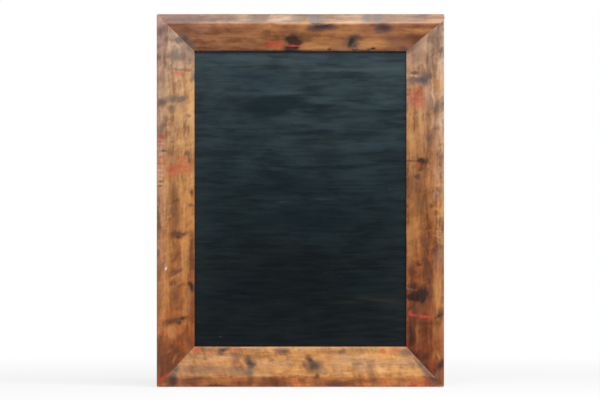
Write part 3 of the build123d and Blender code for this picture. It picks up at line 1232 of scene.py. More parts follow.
TOP_RAIL_MARKS = {
    MarkKind.GOLD: marks(
        # The thin lines at z 726 to 728 paint a highlight along the ridge.
        (148, 684, 30, 9), (30, 681, 40, 8, 0.6), (90, 713, 24, 8, 0.5), (200, 728, 90, 2, 0.4),
        (90, 727, 50, 2.5), (12, 726, 9, 2.5), (268, 731, 22, 4, 0.7), (230, 712, 34, 4.5, 0.8, -2),
        (-130, 701, 46, 2, 0.6), (37, 696, 12, 6, 0.5), (121, 686, 7, 6, 0.5), (-59, 700, 10, 4, 0.35),
    ),
    MarkKind.PALE: marks(
        (-40, 736, 30, 9), (95, 736, 26, 9, 0.8), (-112, 738, 16, 7, 0.6), (215, 735, 24, 6, 0.3),
        # The thin lines at z 725 to 727 paint a highlight along the ridge.
        (-160, 727, 60, 2, 0.5), (-19, 726, 26, 2.2, 0.5), (61, 727, 14, 2.2, 0.4), (52, 727, 14, 2.2, 0.35),
        (72, 725, 10, 2.4, 0.35), (171, 725, 12, 2.2, 0.35), (-199, 714, 14, 6, 0.2),
    ),
    MarkKind.BROWN: marks(
        (-232, 713, 26, 12, 0.55), (-66, 709, 8, 6, 0.7), (-98, 691, 11, 5, 0.5), (-142, 691, 7, 9, 0.45),
        (-170, 711, 9, 9, 0.4), (-48, 699, 9, 4, 0.3), (8, 700, 14, 8, 0.6), (64, 700, 6, 5, 0.5),
        (214, 692, 30, 13, 0.7), (236, 688, 12, 12, 0.5), (146, 723, 6, 3, 0.8), (-120, 716, 30, 4, 0.4),
        (182, 690, 14, 10, 0.4), (187, 675, 28, 5, 0.75), (-40, 688, 10, 6, 0.4), (71, 678, 14, 5, 0.4),
        # The long line at z 671 paints the shadow along the rail's lower edge, over the writing surface.
        (0, 671, 420, 3.4),
    ),
    MarkKind.MAUVE: marks(
        (-258, 736, 26, 12, 0.25), (-222, 736, 30, 9, 0.55), (44, 719, 25, 6), (28, 715, 12, 5),
        (165, 717, 18, 9), (158, 713, 9, 5), (247, 745, 11, 3), (200, 738, 60, 8, 0.3),
    ),
    MarkKind.GREY: marks(
        (-178, 733, 7, 3.5), (-138, 736, 14, 6, 0.4), (-92, 737, 12, 10, 0.4), (-71, 738, 9, 9, 0.8),
        (-8, 738, 11, 8, 0.5), (107, 695, 12, 10, 0.8, -30), (103, 683, 6, 8, 0.8, 20), (92, 690, 8, 7, 0.4),
        (-230, 695, 14, 10, 1, 42), (-219, 681, 9, 7, 0.8, 42),
    ),
    MarkKind.BLUED: marks(
        (26, 739, 9, 9, 0.95, 20), (36, 731, 13, 6, 0.8), (132, 737, 8, 10, 0.95, -25),
        (155, 737, 10, 10, 1, -25), (45, 729, 10, 3, 0.3),
    ),
    MarkKind.KNOT: marks(
        (-17, 694, 15, 10), (-14, 686, 14, 13, 0.35), (-24, 677, 10, 5), (-8, 685, 7, 8, 0.7),
        (107, 697, 10, 6, 0.6, -20), (104, 688, 9, 9, 0.4), (166, 718, 14, 6.5, 0.6), (45, 720, 22, 5, 0.85),
        (100, 687, 3.5, 9, 0.6, 25), (58, 675, 4, 2), (108, 674, 7, 2), (136, 675, 4, 2, 0.7),
        # The long line at z 671 on this row paints shadow along the rail's lower edge.
        (145, 676, 5, 2.2), (-231, 694, 7, 6, 0.5, 42), (0, 671, 420, 1.4, 0.7), (209, 676, 7, 4, 0.3),
    ),
    MarkKind.RED: marks(
        (-56, 683, 17, 3.5), (-59, 690, 8, 4, 0.5), (-38, 689, 4, 5, 0.35), (-14, 682, 13, 2, 0.8),
        (-43, 681, 6, 3, 0.4), (-43, 684, 6, 5, 0.3),
    ),
}

LEFT_STILE_MARKS = {
    MarkKind.GOLD: marks(
        (-221, 596, 10, 34), (-240, 604, 16, 20, 0.6), (-217, 588, 6, 44, 0.6), (-217, 520, 6, 60, 0.8),
        (-240, 550, 9, 20, 0.6), (-236, 488, 9, 18, 0.6), (-231, 400, 9, 34, 0.7), (-231, 290, 7, 50, 0.9),
        # The thin line at x -266, z 200 to 320, on the ridge, is a painted highlight.
        (-233, 236, 5, 26), (-256, 112, 9, 14, 0.8), (-266, 260, 4, 60, 0.8), (-280, 165, 8, 40, 0.5),
        (-231, 160, 4, 30, 0.8), (-250, 222, 9, 2, 1, -28), (-246, 206, 9, 2, 1, -30),
        (-262, 72, 8, 2.2, 1, -30), (-251, 58, 2.8, 9, 1, 30), (-262, 340, 7, 2.2, 1, -25),
        (-272, 330, 6, 2.2, 1, -25), (-266, 180, 4, 26, 0.8), (-258, 110, 8, 12, 0.8), (-262, 398, 6, 14, 0.5),
        (-221, 186, 5, 12, 0.6), (-264, 484, 6, 14, 0.4), (-258, 540, 7, 12, 0.4), (-258, 274, 6, 18, 0.4),
        (-250, 274, 7, 10, 0.6), (-245, 511, 8, 10, 0.5), (-279, 246, 6, 12, 0.5), (-262, 231, 8, 1.3, 1, -35),
    ),
    MarkKind.PALE: marks(
        (-268, 615, 4, 16, 0.8), (-236, 604, 16, 20, 0.3), (-262, 680, 8, 16, 0.5), (-280, 595, 7, 16, 0.2),
        (-278, 545, 7, 12, 0.4), (-276, 486, 8, 5, 0.5), (-277, 466, 8, 4, 0.5), (-276, 432, 8, 9, 0.5),
        # The marks at z 738 and 740 paint light on the shaded bevel at the top corner.
        (-281, 738, 12, 8, 0.55), (-285, 692, 5, 12), (-276, 740, 8, 8, 0.3), (-281, 478, 6, 6),
        (-270, 722, 5, 8, 0.4), (-263, 542, 5, 8, 0.35), (-269, 241, 3.5, 8, 0.5), (-263, 493, 5, 9, 0.35),
        (-281, 522, 5, 8, 0.4), (-259, 396, 6, 12, 0.25), (-259, 354, 6, 14, 0.25),
    ),
    MarkKind.BROWN: marks(
        (-277, 655, 8, 26, 0.4), (-276, 614, 9, 14, 0.5), (-250, 522, 9, 18, 0.2), (-260, 466, 8, 14, 0.5, 25),
        (-254, 433, 13, 8, 0.45), (-252, 450, 8, 12, 0.5), (-250, 366, 9, 40, 0.8), (-253, 322, 8, 16, 0.5),
        (-277, 350, 8, 34, 0.15), (-246, 254, 8, 12, 0.4), (-254, 229, 7, 6), (-242, 233, 8, 3.5, 1, -25),
        (-252, 208, 7, 5), (-238, 205, 8, 3, 0.8, -30), (-216, 285, 4, 26, 0.7), (-215, 242, 4, 14, 0.8),
        (-216, 160, 4, 26, 0.8), (-250, 176, 8, 20, 0.5), (-240, 158, 7, 5, 0.7), (-240, 100, 5, 12, 0.8, 40),
        (-248, 78, 13, 10, 0.7), (-277, 52, 13, 38, 0.85), (-282, 84, 8, 16, 0.6), (-268, 44, 20, 40, 0.5),
        (-217, 250, 5, 36, 0.6), (-219, 180, 5, 24, 0.25), (-262, 30, 10, 16, 0.6), (-250, 196, 9, 26, 0.45),
        (-282, 200, 5, 60, 0.4), (-240, 64, 10, 10, 0.7), (-221, 90, 7, 16, 0.6), (-276, 587, 8, 7, 0.3),
        (-243, 306, 14, 9, 0.35), (-252, 134, 16, 9, 0.35, -8), (-231, 554, 6, 10, 0.15),
    ),
    MarkKind.MAUVE: marks(
        (-281, 711, 8, 12, 0.95), (-275, 570, 8, 8), (-278, 500, 10, 5, 0.5), (-274, 521, 5.5, 18, 0.8, 14),
        (-283, 566, 5, 9, 0.6), (-236, 668, 5, 16, 0.6), (-284, 268, 4, 7, 0.7), (-285, 318, 3, 40, 0.5),
        (-221, 668, 8, 20, 0.65), (-226, 681, 8, 6, 0.4, 42), (-261, 712, 14, 12, 0.25),
        (-276, 690, 6, 10, 0.45), (-219, 81, 5, 7, 0.35), (-276, 364, 6, 14, 0.2),
    ),
    MarkKind.GREY: marks(
        (-247, 692, 14, 5, 0.8), (-240, 692, 8, 6, 0.7), (-250, 664, 13, 9, 0.8), (-246, 676, 7, 6, 0.5),
        (-252, 575, 16, 7), (-235, 577, 9, 5, 1, -25), (-256, 556, 6, 8, 0.9), (-285, 660, 5, 7, 0.9),
        (-215, 619, 5, 8), (-239, 634, 26, 2.2, 0.7, 5), (-246, 650, 12, 8, 0.35), (-216, 654, 5, 10, 0.35),
    ),
    MarkKind.RED: marks(
        (-241, 627, 11, 4.5, 0.7, 5), (-278, 500, 10, 5, 0.55), (-254, 434, 12, 7, 0.65),
        (-258, 424, 9, 3, 0.5), (-236, 444, 14, 18, 0.22), (-222, 438, 7, 12, 0.2), (-236, 458, 14, 1.8, 0.5),
        (-234, 450, 14, 1.6, 0.35), (-231, 441, 16, 1.6, 0.4), (-229, 432, 16, 1.6, 0.4),
        (-281, 491, 7, 2, 0.8), (-279, 483, 8, 1.8, 0.6), (-279, 437, 8, 1.6, 0.5), (-280, 429, 8, 1.6, 0.6),
        (-280, 460, 8, 2, 0.6), (-282, 447, 7, 2.2, 0.8), (-270, 452, 5, 9, 0.35), (-279, 420, 8, 1.6, 0.5),
        (-277, 15, 18, 3.5, 1, -42),
    ),
    MarkKind.KNOT: marks(
        (-245, 306, 12, 6, 0.5), (-242, 299, 6, 3, 0.7), (-231, 306, 7, 4, 0.6, -15),
        (-247, 133, 14, 6, 0.6, -8), (-266, 128, 9, 7, 0.6), (-242, 128, 6, 4, 0.5),
        (-232, 140, 6, 4, 0.65, -25), (-216, 198, 4, 8), (-220, 206, 4, 4, 0.8), (-225, 467, 5, 5, 0.7),
        (-222, 454, 3, 8, 0.6, -10), (-222, 542, 3, 3, 0.6), (-223, 513, 2.5, 10, 0.5),
        (-217, 388, 3.5, 8, 0.8), (-219, 364, 5, 3, 0.6, -15), (-272, 472, 6, 2.2, 0.7),
        (-279, 411, 6, 2, 0.7), (-279, 402, 5, 2, 0.7), (-274, 569, 5, 5, 0.4), (-240, 141, 7, 5, 0.4),
        (-213, 669, 4, 5, 0.3),
    ),
    # A chip with a painted glint on it.
    MarkKind.SPLINTER: marks((-267.8, 237.6, 1.8, 3.8, 1, 15)),
}

RIGHT_STILE_MARKS = {
    MarkKind.GOLD: marks(
        (219, 505, 7, 44, 0.8), (238, 520, 6, 40, 0.6), (276, 604, 9, 30, 0.9), (255, 404, 6, 26, 0.8),
        (223, 300, 10, 40, 0.7), (270, 420, 6, 24, 0.6), (274, 190, 10, 32), (238, 330, 8, 30, 0.5),
        (233, 108, 4, 24, 0.4), (280, 362, 7, 12, 0.8), (217, 640, 5, 10, 0.6), (271, 114, 6, 12, 0.5),
        (274, 356, 9, 2.5, 1, 12), (277, 342, 8, 2.2, 1, -10), (274, 404, 6, 2.4, 1, -15),
        (277, 60, 2.2, 12, 1, -20), (266, 66, 3, 10, 0.6, 10), (234, 544, 16, 18, 0.5),
        (241, 480, 11, 20, 0.55), (250, 362, 7, 12, 0.45), (259, 516, 6, 10, 0.4), (218, 546, 6, 12, 0.5),
        (274, 312, 8, 1.3, 1, 6), (276, 307, 8, 1.2, 0.7, 12), (274, 302, 9, 1.4, 1, 14),
        (277, 297, 8, 1.2, 0.8, 22), (276, 291, 9, 1.3, 0.8, 30), (267, 328, 4, 12, 0.5),
    ),
    MarkKind.PALE: marks(
        (278, 640, 5, 20, 0.6), (262, 648, 8, 20, 0.55), (259, 578, 8, 22), (225, 622, 13, 1.6, 1, 4),
        (272, 530, 8, 12, 0.6), (272, 496, 4, 20, 0.5), (221, 196, 10, 1.5, 0.5, 20), (273, 421, 7, 16, 0.55),
        (269, 385, 5, 10, 0.5), (270, 579, 6, 12, 0.9), (271, 618, 5, 10, 0.4), (239, 551, 7, 10, 0.3),
        (272, 21, 8, 8, 0.3), (249, 639, 7, 8, 0.4), (233, 538, 6, 10, 0.3), (246, 488, 6, 10, 0.3),
        (215, 572, 4, 8, 0.35), (261, 520, 5, 10, 0.3), (273, 448, 5, 10, 0.3),
    ),
    MarkKind.BROWN: marks(
        (254, 540, 4.5, 42, 0.5), (229, 535, 5, 26, 0.15), (259, 488, 7, 18, 0.45), (236, 400, 11, 22, 0.85),
        (216, 400, 6, 36, 0.45), (234, 360, 6, 14, 0.5), (248, 292, 7, 13, 0.9, -30), (240, 318, 5, 5, 0.8),
        (219, 287, 8, 2, 0.6, 20), (218, 234, 6, 8, 0.8), (236, 226, 6, 6, 0.6), (254, 228, 5, 22),
        (261, 215, 4, 34, 0.9), (246, 260, 6, 30, 0.5), (222, 202, 8, 6), (222, 150, 12, 20, 0.9),
        (245, 150, 14, 24, 0.5), (250, 128, 18, 4, 0.8), (240, 100, 22, 26, 0.45), (250, 40, 14, 22, 0.6),
        (278, 30, 10, 26, 0.5), (279, 90, 8, 20, 0.35), (281, 150, 9, 7, 1, -40), (227, 400, 8, 14, 0.5),
        (223, 312, 7, 12, 0.2), (229, 370, 7, 10, 0.25), (279, 216, 7, 12, 0.12), (280, 146, 7, 16, 0.2),
    ),
    MarkKind.MAUVE: marks(
        (274, 700, 13, 22, 0.35), (263, 668, 9, 26, 0.2), (282, 668, 6, 10, 0.5), (232, 662, 12, 16, 0.55),
        (267, 513, 5, 12, 0.5, 30), (257, 498, 7, 9, 0.6), (282, 460, 6, 8, 0.6), (240, 368, 9, 7, 0.5),
        (280, 386, 7, 12, 0.2), (276, 262, 9, 22, 0.6), (285, 320, 3, 8, 0.6), (225, 681, 20, 8, 0.6, -40),
        (216, 673, 9, 6, 0.6, -40), (279, 44, 6, 11, 0.6, 25), (216, 650, 5, 10, 0.25),
        (278, 302, 10, 14, 0.2), (243, 690, 8, 8, 0.2),
    ),
    MarkKind.GREY: marks(
        (224, 613, 14, 6), (249, 607, 6, 8, 0.7), (284, 566, 10, 9, 1, -35), (270, 556, 8, 6, 0.65),
        (254, 622, 8, 6, 0.6), (214, 634, 4, 8, 0.5),
    ),
    MarkKind.BLUED: marks(
        (248, 616, 12, 9, 0.8, 10), (240, 611, 9, 6, 0.3), (272, 696, 13, 24, 0.2),
    ),
    MarkKind.RED: marks(
        (232, 584, 18, 20, 0.26), (233, 573, 12, 2, 0.7, -20), (228, 585, 7, 4, 0.4), (238, 561, 14, 4, 0.35),
        (235, 444, 5, 4.5, 0.55), (219, 148, 3, 5), (227, 144, 7, 2.4, 0.9), (241, 142, 4, 5),
        (252, 141, 9, 2.6),
    ),
    MarkKind.KNOT: marks(
        (247, 617, 10, 7, 0.45, 10), (240, 612, 9, 5, 0.35), (228, 628, 8, 3.5, 0.75, 5),
        (245, 451, 9, 6, 1, 15), (238, 454, 4, 3, 0.8), (220, 452, 13, 1.8, 0.6, 3), (234, 421, 5, 5, 0.75),
        (242, 187, 17, 14), (221, 184, 13, 8, 0.6), (230, 178, 14, 6, 0.8, 8), (224, 202, 9, 5, 0.5),
        (237, 245, 4, 3, 0.8), (261, 362, 3.5, 4.5, 0.75), (222, 104, 7, 20, 0.75), (261, 108, 2.6, 22, 0.6),
        (249, 62, 9, 8, 0.6), (229, 66, 11, 5, 0.7, 42), (282, 47, 6, 11, 0.9, 25),
        (275, 143, 9, 3.5, 0.6, -35), (214, 585, 2.4, 2.4, 0.6), (243, 170, 5, 10, 0.5),
        (255, 35, 4, 14, 0.6, -40), (279, 141, 9, 5, 0.4, -35),
    ),
}

# Marks turned 47 degrees along the right-hand joint paint the grey of the planed facet, partly its own tone
# and partly its shade, and the shadow line beside it.
BOTTOM_RAIL_MARKS = {
    MarkKind.GOLD: marks(
        (130, 55, 80, 12, 0.6), (70, 50, 34, 10, 0.6), (-40, 45, 40, 10, 0.4), (240, 26, 8, 6, 0.8),
        (82, 17, 14, 4, 0.8), (-160, 13, 22, 6, 0.7), (-230, 27, 12, 6, 0.8), (20, 12, 12, 6, 0.4),
        (190, 12, 16, 6, 0.5), (173, 50, 16, 8, 0.4), (123, 48, 10, 6, 0.4), (117, 8, 14, 5, 0.3),
    ),
    MarkKind.PALE: marks(
        # The long line at z 79.5 paints a highlight along the edge of the writing opening.
        (0, 79.5, 200, 1.8, 0.7), (-230, 55, 12, 10, 0.4), (-80, 25, 18, 2.5, 0.5), (-160, 62, 40, 5, 0.4),
        (160, 40, 20, 12, 0.4), (105, 57, 42, 10, 0.5), (206, 50, 26, 12, 0.5), (-62, 46, 28, 9, 0.35),
        (-25, 48, 10, 8, 0.4), (123, 40, 12, 8, 0.4), (83, 28, 14, 4, 0.4), (-180, 77, 9, 3, 0.4),
        (281, 6, 6, 4, 0.5), (-91, 78, 8, 3, 0.4), (77, 42, 14, 6, 0.3),
    ),
    MarkKind.BROWN: marks(
        (-220, 12, 18, 8), (-165, 3, 20, 3), (-120, 8, 18, 7, 0.7), (-68, 10, 18, 9, 0.9), (-38, 12, 18, 9),
        (45, 11, 22, 8, 0.7), (80, 7, 22, 7), (4, 14, 8, 6, 0.7), (120, 14, 22, 5, 0.7), (210, 15, 26, 4, 0.6),
        (276, 8, 16, 10, 0.6), (-35, 71, 13, 7, 0.9), (112, 73.5, 84, 5, 0.5), (-92, 60, 10, 6, 0.6),
        (-124, 62, 10, 5, 0.7), (-132, 52, 8, 6, 0.7), (-57, 55, 5, 4, 0.7), (22, 42, 16, 12, 0.8, 35),
        (37, 46, 9, 8, 0.6), (84, 71, 6, 6, 0.7), (60, 70, 20, 5, 0.4), (107, 38, 5, 12, 0.5, -10),
        (116, 47, 9, 4, 0.5), (195, 32, 6, 4, 0.4), (-190, 57, 4, 3, 0.5), (-5, 54, 5, 4, 0.4),
        (210, 67, 15, 8, 0.5), (223, 46, 16, 7, 0.6, 47), (214, 33, 14, 5, 0.3), (-193, 17, 14, 6, 0.6),
        (-67, 29, 14, 5, 0.4), (21, 65, 8, 5, 0.4), (97, 65, 20, 4, 0.25), (-201, 44, 12, 6, 0.35),
        (3, 72, 14, 5, 0.4), (161, 12, 12, 6, 0.4), (273, 13, 9, 2.6, 0.8, 47), (-173, 50, 14, 7, 0.15),
        (-77, 50, 10, 7, 0.12), (-53, 32, 10, 6, 0.15),
    ),
    MarkKind.MAUVE: marks(
        (-255, 26, 9, 7, 0.6), (-255, 14, 10, 14, 0.9), (-170, 33, 60, 8, 0.4), (-46, 75, 8, 4, 0.7),
        (141, 33, 9, 16, 0.25, -15), (146, 12, 11, 8, 0.7), (262, 14, 15, 11, 0.9),
        (237, 49, 14, 4.5, 0.7, 47), (248, 37, 13, 6, 1, 47), (257, 25, 12, 8, 1, 47), (211, 72, 14, 7, 0.8),
        (282, 20, 8, 12, 0.6), (70, 8, 16, 6, 0.5), (221, 65, 9, 5, 0.3, 47),
    ),
    MarkKind.GREY: marks(
        (-251, 39, 8, 7), (-99, 43, 9, 8), (-103, 30, 9, 9, 0.8), (-130, 34, 14, 8, 0.5), (36, 45, 9, 8, 0.55),
        (46, 32, 9, 6, 0.5), (-210, 36, 40, 7, 0.35), (113, 46, 7, 5, 0.4), (138, 42, 6, 9, 0.35, -10),
        (237, 49, 14, 4.5, 0.5, 47),
    ),
    MarkKind.RED: marks(
        (-208, 74, 7, 5.5), (-178, 72, 6, 4, 0.4), (-133, 74, 18, 3.5, 0.45), (165, 72, 6, 4.5, 1, 25),
        (188, 74, 10, 4, 0.8), (235, 8, 14, 6, 0.5), (224, 3, 9, 3), (256, 10, 10, 8, 0.4),
    ),
    MarkKind.KNOT: marks(
        (-159, 69, 7, 5, 0.8, -25), (-149, 76, 10, 3.5, 0.7, -10), (-105, 56, 8, 8, 0.8),
        (-98, 45, 7, 7, 0.75), (-101, 12, 6, 11, 0.6), (-254, 11, 7, 11, 0.65), (-251, 39, 7, 6, 0.4),
        (18, 57, 7, 6, 0.85, 30), (26, 45, 10, 6, 0.7, 35), (21, 35, 8, 6, 0.6, 20), (33, 22, 5, 6, 0.8),
        # The mark turned 47 degrees on this row paints the shadow line beside the planed facet.
        (9, 46, 4, 8, 0.5, -20), (-32, 71, 9, 5, 0.5), (82, 73, 4, 4, 0.5), (261, 20, 8, 3, 0.5, 47),
    ),
}

PANEL_MARKS = {
    MarkKind.WIPED: marks(
        (-72, 556, 34, 18, 1, -8), (-50, 566, 30, 14), (-20, 568, 34, 12), (30, 561, 28, 5, 1, 3),
        (-110, 575, 50, 7, 0.5), (-100, 621, 60, 6, 0.6), (98, 624, 44, 6, 0.6), (10, 615, 50, 9, 0.4),
        (130, 548, 40, 8, 0.4), (20, 508, 44, 5, 1, -3), (120, 505, 50, 6, 0.6), (-90, 500, 50, 7, 0.5),
        (77, 439, 60, 4.5, 1, -3), (110, 462, 60, 6, 0.3), (-89, 395, 70, 12, 0.8, -2), (10, 405, 60, 10, 0.5),
        (-60, 428, 60, 5, 0.5), (20, 345, 90, 14, 0.7), (0, 325, 120, 14, 0.5), (-30, 200, 120, 30, 0.6),
        (-43, 546, 24, 8, 0.6),
    ),
    MarkKind.DUST: marks(
        (-150, 655, 60, 10, 0.7), (-20, 654, 90, 9, 0.6), (108, 635, 90, 4, 0.9), (-45, 588, 60, 2.6, 0.8, -1),
        (60, 574, 26, 5, 0.5), (-170, 600, 36, 22, 0.3), (170, 590, 34, 26, 0.4), (100, 482, 70, 6, 0.35, -2),
        (40, 530, 60, 10, 0.35), (43, 376, 20, 1.5, 0.6), (-37, 370, 10, 1.3, 0.6), (150, 640, 40, 8, 0.6),
        (-214, 330, 34, 330, 0.15), (214, 330, 34, 330, 0.09), (190, 150, 50, 60, 0.1), (0, 84, 230, 24, 0.06),
        # The band at z 668 paints light that narrows the shadow the top rail casts on the writing surface.
        (60, 482, 90, 40, 0.14), (0, 668, 420, 4.5),
    ),
    MarkKind.RUBBED: marks(
        (168, 174, 44, 5, 1, 7), (-82, 126, 13, 3.5, 0.6), (120, 170, 40, 5, 0.4), (60, 402, 20, 2, 0.5),
    ),
    MarkKind.WORN: marks(
        (-150, 238, 0.8, 11), (184, 150, 0.9, 8, 1, 25), (-52, 106, 1.6, 3), (-15, 225, 105, 65, 0.6),
        (-10, 372, 90, 24, 0.2),
    ),
    MarkKind.SPECK: marks(
        (-160, 101, 1.2, 1.2, 0.5), (172, 566, 1, 1, 0.4), (178, 396, 1.4, 1, 0.3),
    ),
}


TOP_RAIL_DENTS = dents(
    (59, 673, 5, 1.6), (109, 673, 7, 2.0), (145, 673, 5, 1.8), (-177, 734, 9, 0.8),
    (-165, 703, 14, 0.5), (30, 724, 12, 0.9), (166, 722, 12, 0.9), (-60, 724, 9, 0.7),
)
LEFT_STILE_DENTS = dents(
    (-268, 237, 5, 1.5), (-250, 232, 8, 0.8), (-243, 214, 8, 0.8), (-230, 634, 6, 0.9), (-250, 637, 6, 0.9),
    (-216, 387, 6, 1.2), (-217, 200, 8, 1.0), (-284, 410, 9, 1.0), (-285, 570, 10, 1.0),
)
RIGHT_STILE_DENTS = dents(
    (276, 322, 5, 0.9), (276, 313, 5, 0.9), (276, 304, 5, 0.9), (276, 296, 5, 0.9), (284, 563, 9, 1.2),
    (236, 228, 6, 0.8), (262, 362, 7, 0.9), (255, 127, 8, 0.7), (286, 150, 9, 1.0),
)
BOTTOM_RAIL_DENTS = dents(
    (-157, 78, 6, 1.0), (20, 56, 9, 0.7), (86, 76, 7, 0.9),
    (-105, 24, 10, 0.9), (141, 20, 10, 0.9), (-37, 76, 8, 0.7),
)

TOP_RAIL_WOOD = WoodFinish(
    "top_rail_wood",
    Grain.SIDEWAYS,
    seed=1.7,
    outward=(0.0, 0.0, 1.0),
    stations=((-287, (0.314, 0.120, 0.055)), (0, (0.330, 0.125, 0.038)), (287, (0.256, 0.088, 0.0375))),
    bevel_stations=((-287, (0.272, 0.146, 0.102)), (0, (0.273, 0.158, 0.088)), (287, (0.324, 0.172, 0.102))),
    table=TOP_RAIL_MARKS,
    reach=0.11,
    curl=0.05,
)
BOTTOM_RAIL_WOOD = WoodFinish(
    "bottom_rail_wood",
    Grain.SIDEWAYS,
    seed=4.1,
    outward=(0.0, 0.0, -1.0),
    stations=((-287, (0.49, 0.215, 0.078)), (0, (0.57, 0.249, 0.064)), (287, (0.69, 0.328, 0.096))),
    bevel_stations=((-287, (0.453, 0.146, 0.052)), (0, (0.688, 0.216, 0.048)), (287, (0.794, 0.286, 0.072))),
    table=BOTTOM_RAIL_MARKS,
    reach=0.10,
    curl=0.23,
)
# The left stile's colours are lighter than the right stile's as light falls from the right, and paler towards
# the top as a painted sheen.
LEFT_STILE_WOOD = WoodFinish(
    "left_stile_wood",
    Grain.UPRIGHT,
    seed=7.3,
    outward=(-1.0, 0.0, 0.0),
    stations=(
        (60, (0.317, 0.076, 0.010)),
        (380, (0.413, 0.169, 0.044)),
        (590, (0.462, 0.267, 0.132)),
        (720, (0.40, 0.252, 0.172)),
    ),
    bevel_stations=(
        (60, (0.498, 0.137, 0.030)),
        (380, (0.611, 0.290, 0.133)),
        (600, (0.535, 0.300, 0.175)),
        (720, (0.638, 0.375, 0.310)),
    ),
    table=LEFT_STILE_MARKS,
    reach=0.085,
    curl=0.17,
)
# The right stile's colours are darker than the left stile's as its face turns from the light, and paler
# towards the top as a painted sheen.
RIGHT_STILE_WOOD = WoodFinish(
    "right_stile_wood",
    Grain.UPRIGHT,
    seed=9.6,
    outward=(1.0, 0.0, 0.0),
    stations=((60, (0.268, 0.056, 0.0095)), (380, (0.325, 0.117, 0.030)), (720, (0.357, 0.209, 0.123))),
    bevel_stations=((60, (0.353, 0.101, 0.0235)), (380, (0.444, 0.207, 0.079)), (720, (0.490, 0.346, 0.248))),
    table=RIGHT_STILE_MARKS,
    reach=0.078,
    curl=0.14,
)


@dataclass
class WornFrame:
    """The four members of the frame round the writing opening.

    Attributes:
        section: The members' section.
    """

    section: Section = field(default_factory=Section)

    def __post_init__(self) -> None:
        """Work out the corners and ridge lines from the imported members."""
        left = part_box("frame_left_stile")
        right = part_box("frame_right_stile")
        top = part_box("frame_top_rail")
        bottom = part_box("frame_bottom_rail")
        back = left[1].y
        self.top_left = Corner((left[1].x, top[0].z), (left[0].x, top[1].z), back)
        self.top_right = Corner((right[0].x, top[0].z), (right[1].x, right[1].z), back)
        self.bottom_left = Corner((left[1].x, bottom[1].z), (left[0].x, bottom[0].z), back)
        self.bottom_right = Corner((right[0].x, bottom[1].z), (right[1].x, bottom[0].z), back)
        share, depth = self.section.ridge_share, self.section.ridge_depth
        self.steep_share = share * (top[1].z - top[0].z) / (right[1].z - top[0].z)
        rise = depth - self.section.sight_depth
        self.low_depth = self.section.sight_depth + rise * share / self.steep_share
        self.right_edge = right[1].x
        self.top_edge = top[1].z

    def members(self) -> Iterable[FrameMember]:
        """Lay out the four members.

        Returns:
            The members, ready to be built.
        """
        share, depth = self.section.ridge_share, self.section.ridge_depth
        edge_y = self.top_left.back - self.section.edge_depth
        top_left = self.top_left.point(share, depth)
        top_right = self.top_right.point(self.steep_share, depth)
        bottom_left = self.bottom_left.point(share, depth)
        bottom_right = self.bottom_right.point(share, depth)
        stile_foot = self.bottom_right.point(share, self.low_depth)
        right_end = Vector((self.right_edge, 0.0, 0.0))
        sight_foot = self.bottom_right.point(0, self.section.sight_depth)
        facet = bottom_right - Vector((self.section.planed_width, 0.0, 0.0))
        return (
            FrameMember(
                "frame_top_rail",
                Vector((0, 0, 1)),
                (self.top_left, self.top_right),
                (top_left, top_right),
                Vector((0.0, edge_y, self.top_edge)),
                TOP_RAIL_WOOD,
                self.section,
                ends=((right_end, Vector((1, 0, 0))),),
                dents=TOP_RAIL_DENTS,
            ),
            FrameMember(
                "frame_bottom_rail",
                Vector((0, 0, -1)),
                (self.bottom_left, self.bottom_right),
                (bottom_left, bottom_right),
                Vector((0.0, edge_y, 0.0)),
                BOTTOM_RAIL_WOOD,
                self.section,
                ends=(plane_through(sight_foot, stile_foot, facet),),
                dents=BOTTOM_RAIL_DENTS,
            ),
            FrameMember(
                "frame_left_stile",
                Vector((-1, 0, 0)),
                (self.top_left, self.bottom_left),
                (top_left, bottom_left),
                Vector((-self.right_edge, edge_y, 0.0)),
                LEFT_STILE_WOOD,
                self.section,
                dents=LEFT_STILE_DENTS,
            ),
            FrameMember(
                "frame_right_stile",
                Vector((1, 0, 0)),
                (self.top_right, self.bottom_right),
                (top_right, stile_foot),
                Vector((self.right_edge, edge_y, 0.0)),
                RIGHT_STILE_WOOD,
                self.section,
                dents=RIGHT_STILE_DENTS,
            ),
        )

    def build(self) -> None:
        """Build the four members."""
        for member in self.members():
            piece = member.build()
            LOG.info("%s: %d faces", piece.name, len(piece.data.polygons))


@dataclass
class CarriedOver:
    """The panel and the hardware, whose CAD solids have the right shape and get their finishes here.

    Attributes:
        finishes: The finish of each material slot of the record.
    """

    finishes: dict[str, Any]

    def dress(self) -> None:
        """Give every CAD node that still shows the finish of its slot."""
        made = {slot: finish.material() for slot, finish in self.finishes.items()}
        for row in frame["record"]["subparts"]:
            if row["material_slot"] in made:
                mesh = frame["nodes"][row["node"]].data
                mesh.materials.clear()
                mesh.materials.append(made[row["material_slot"]])
                LOG.info("%s: %s", row["node"], row["material_slot"])


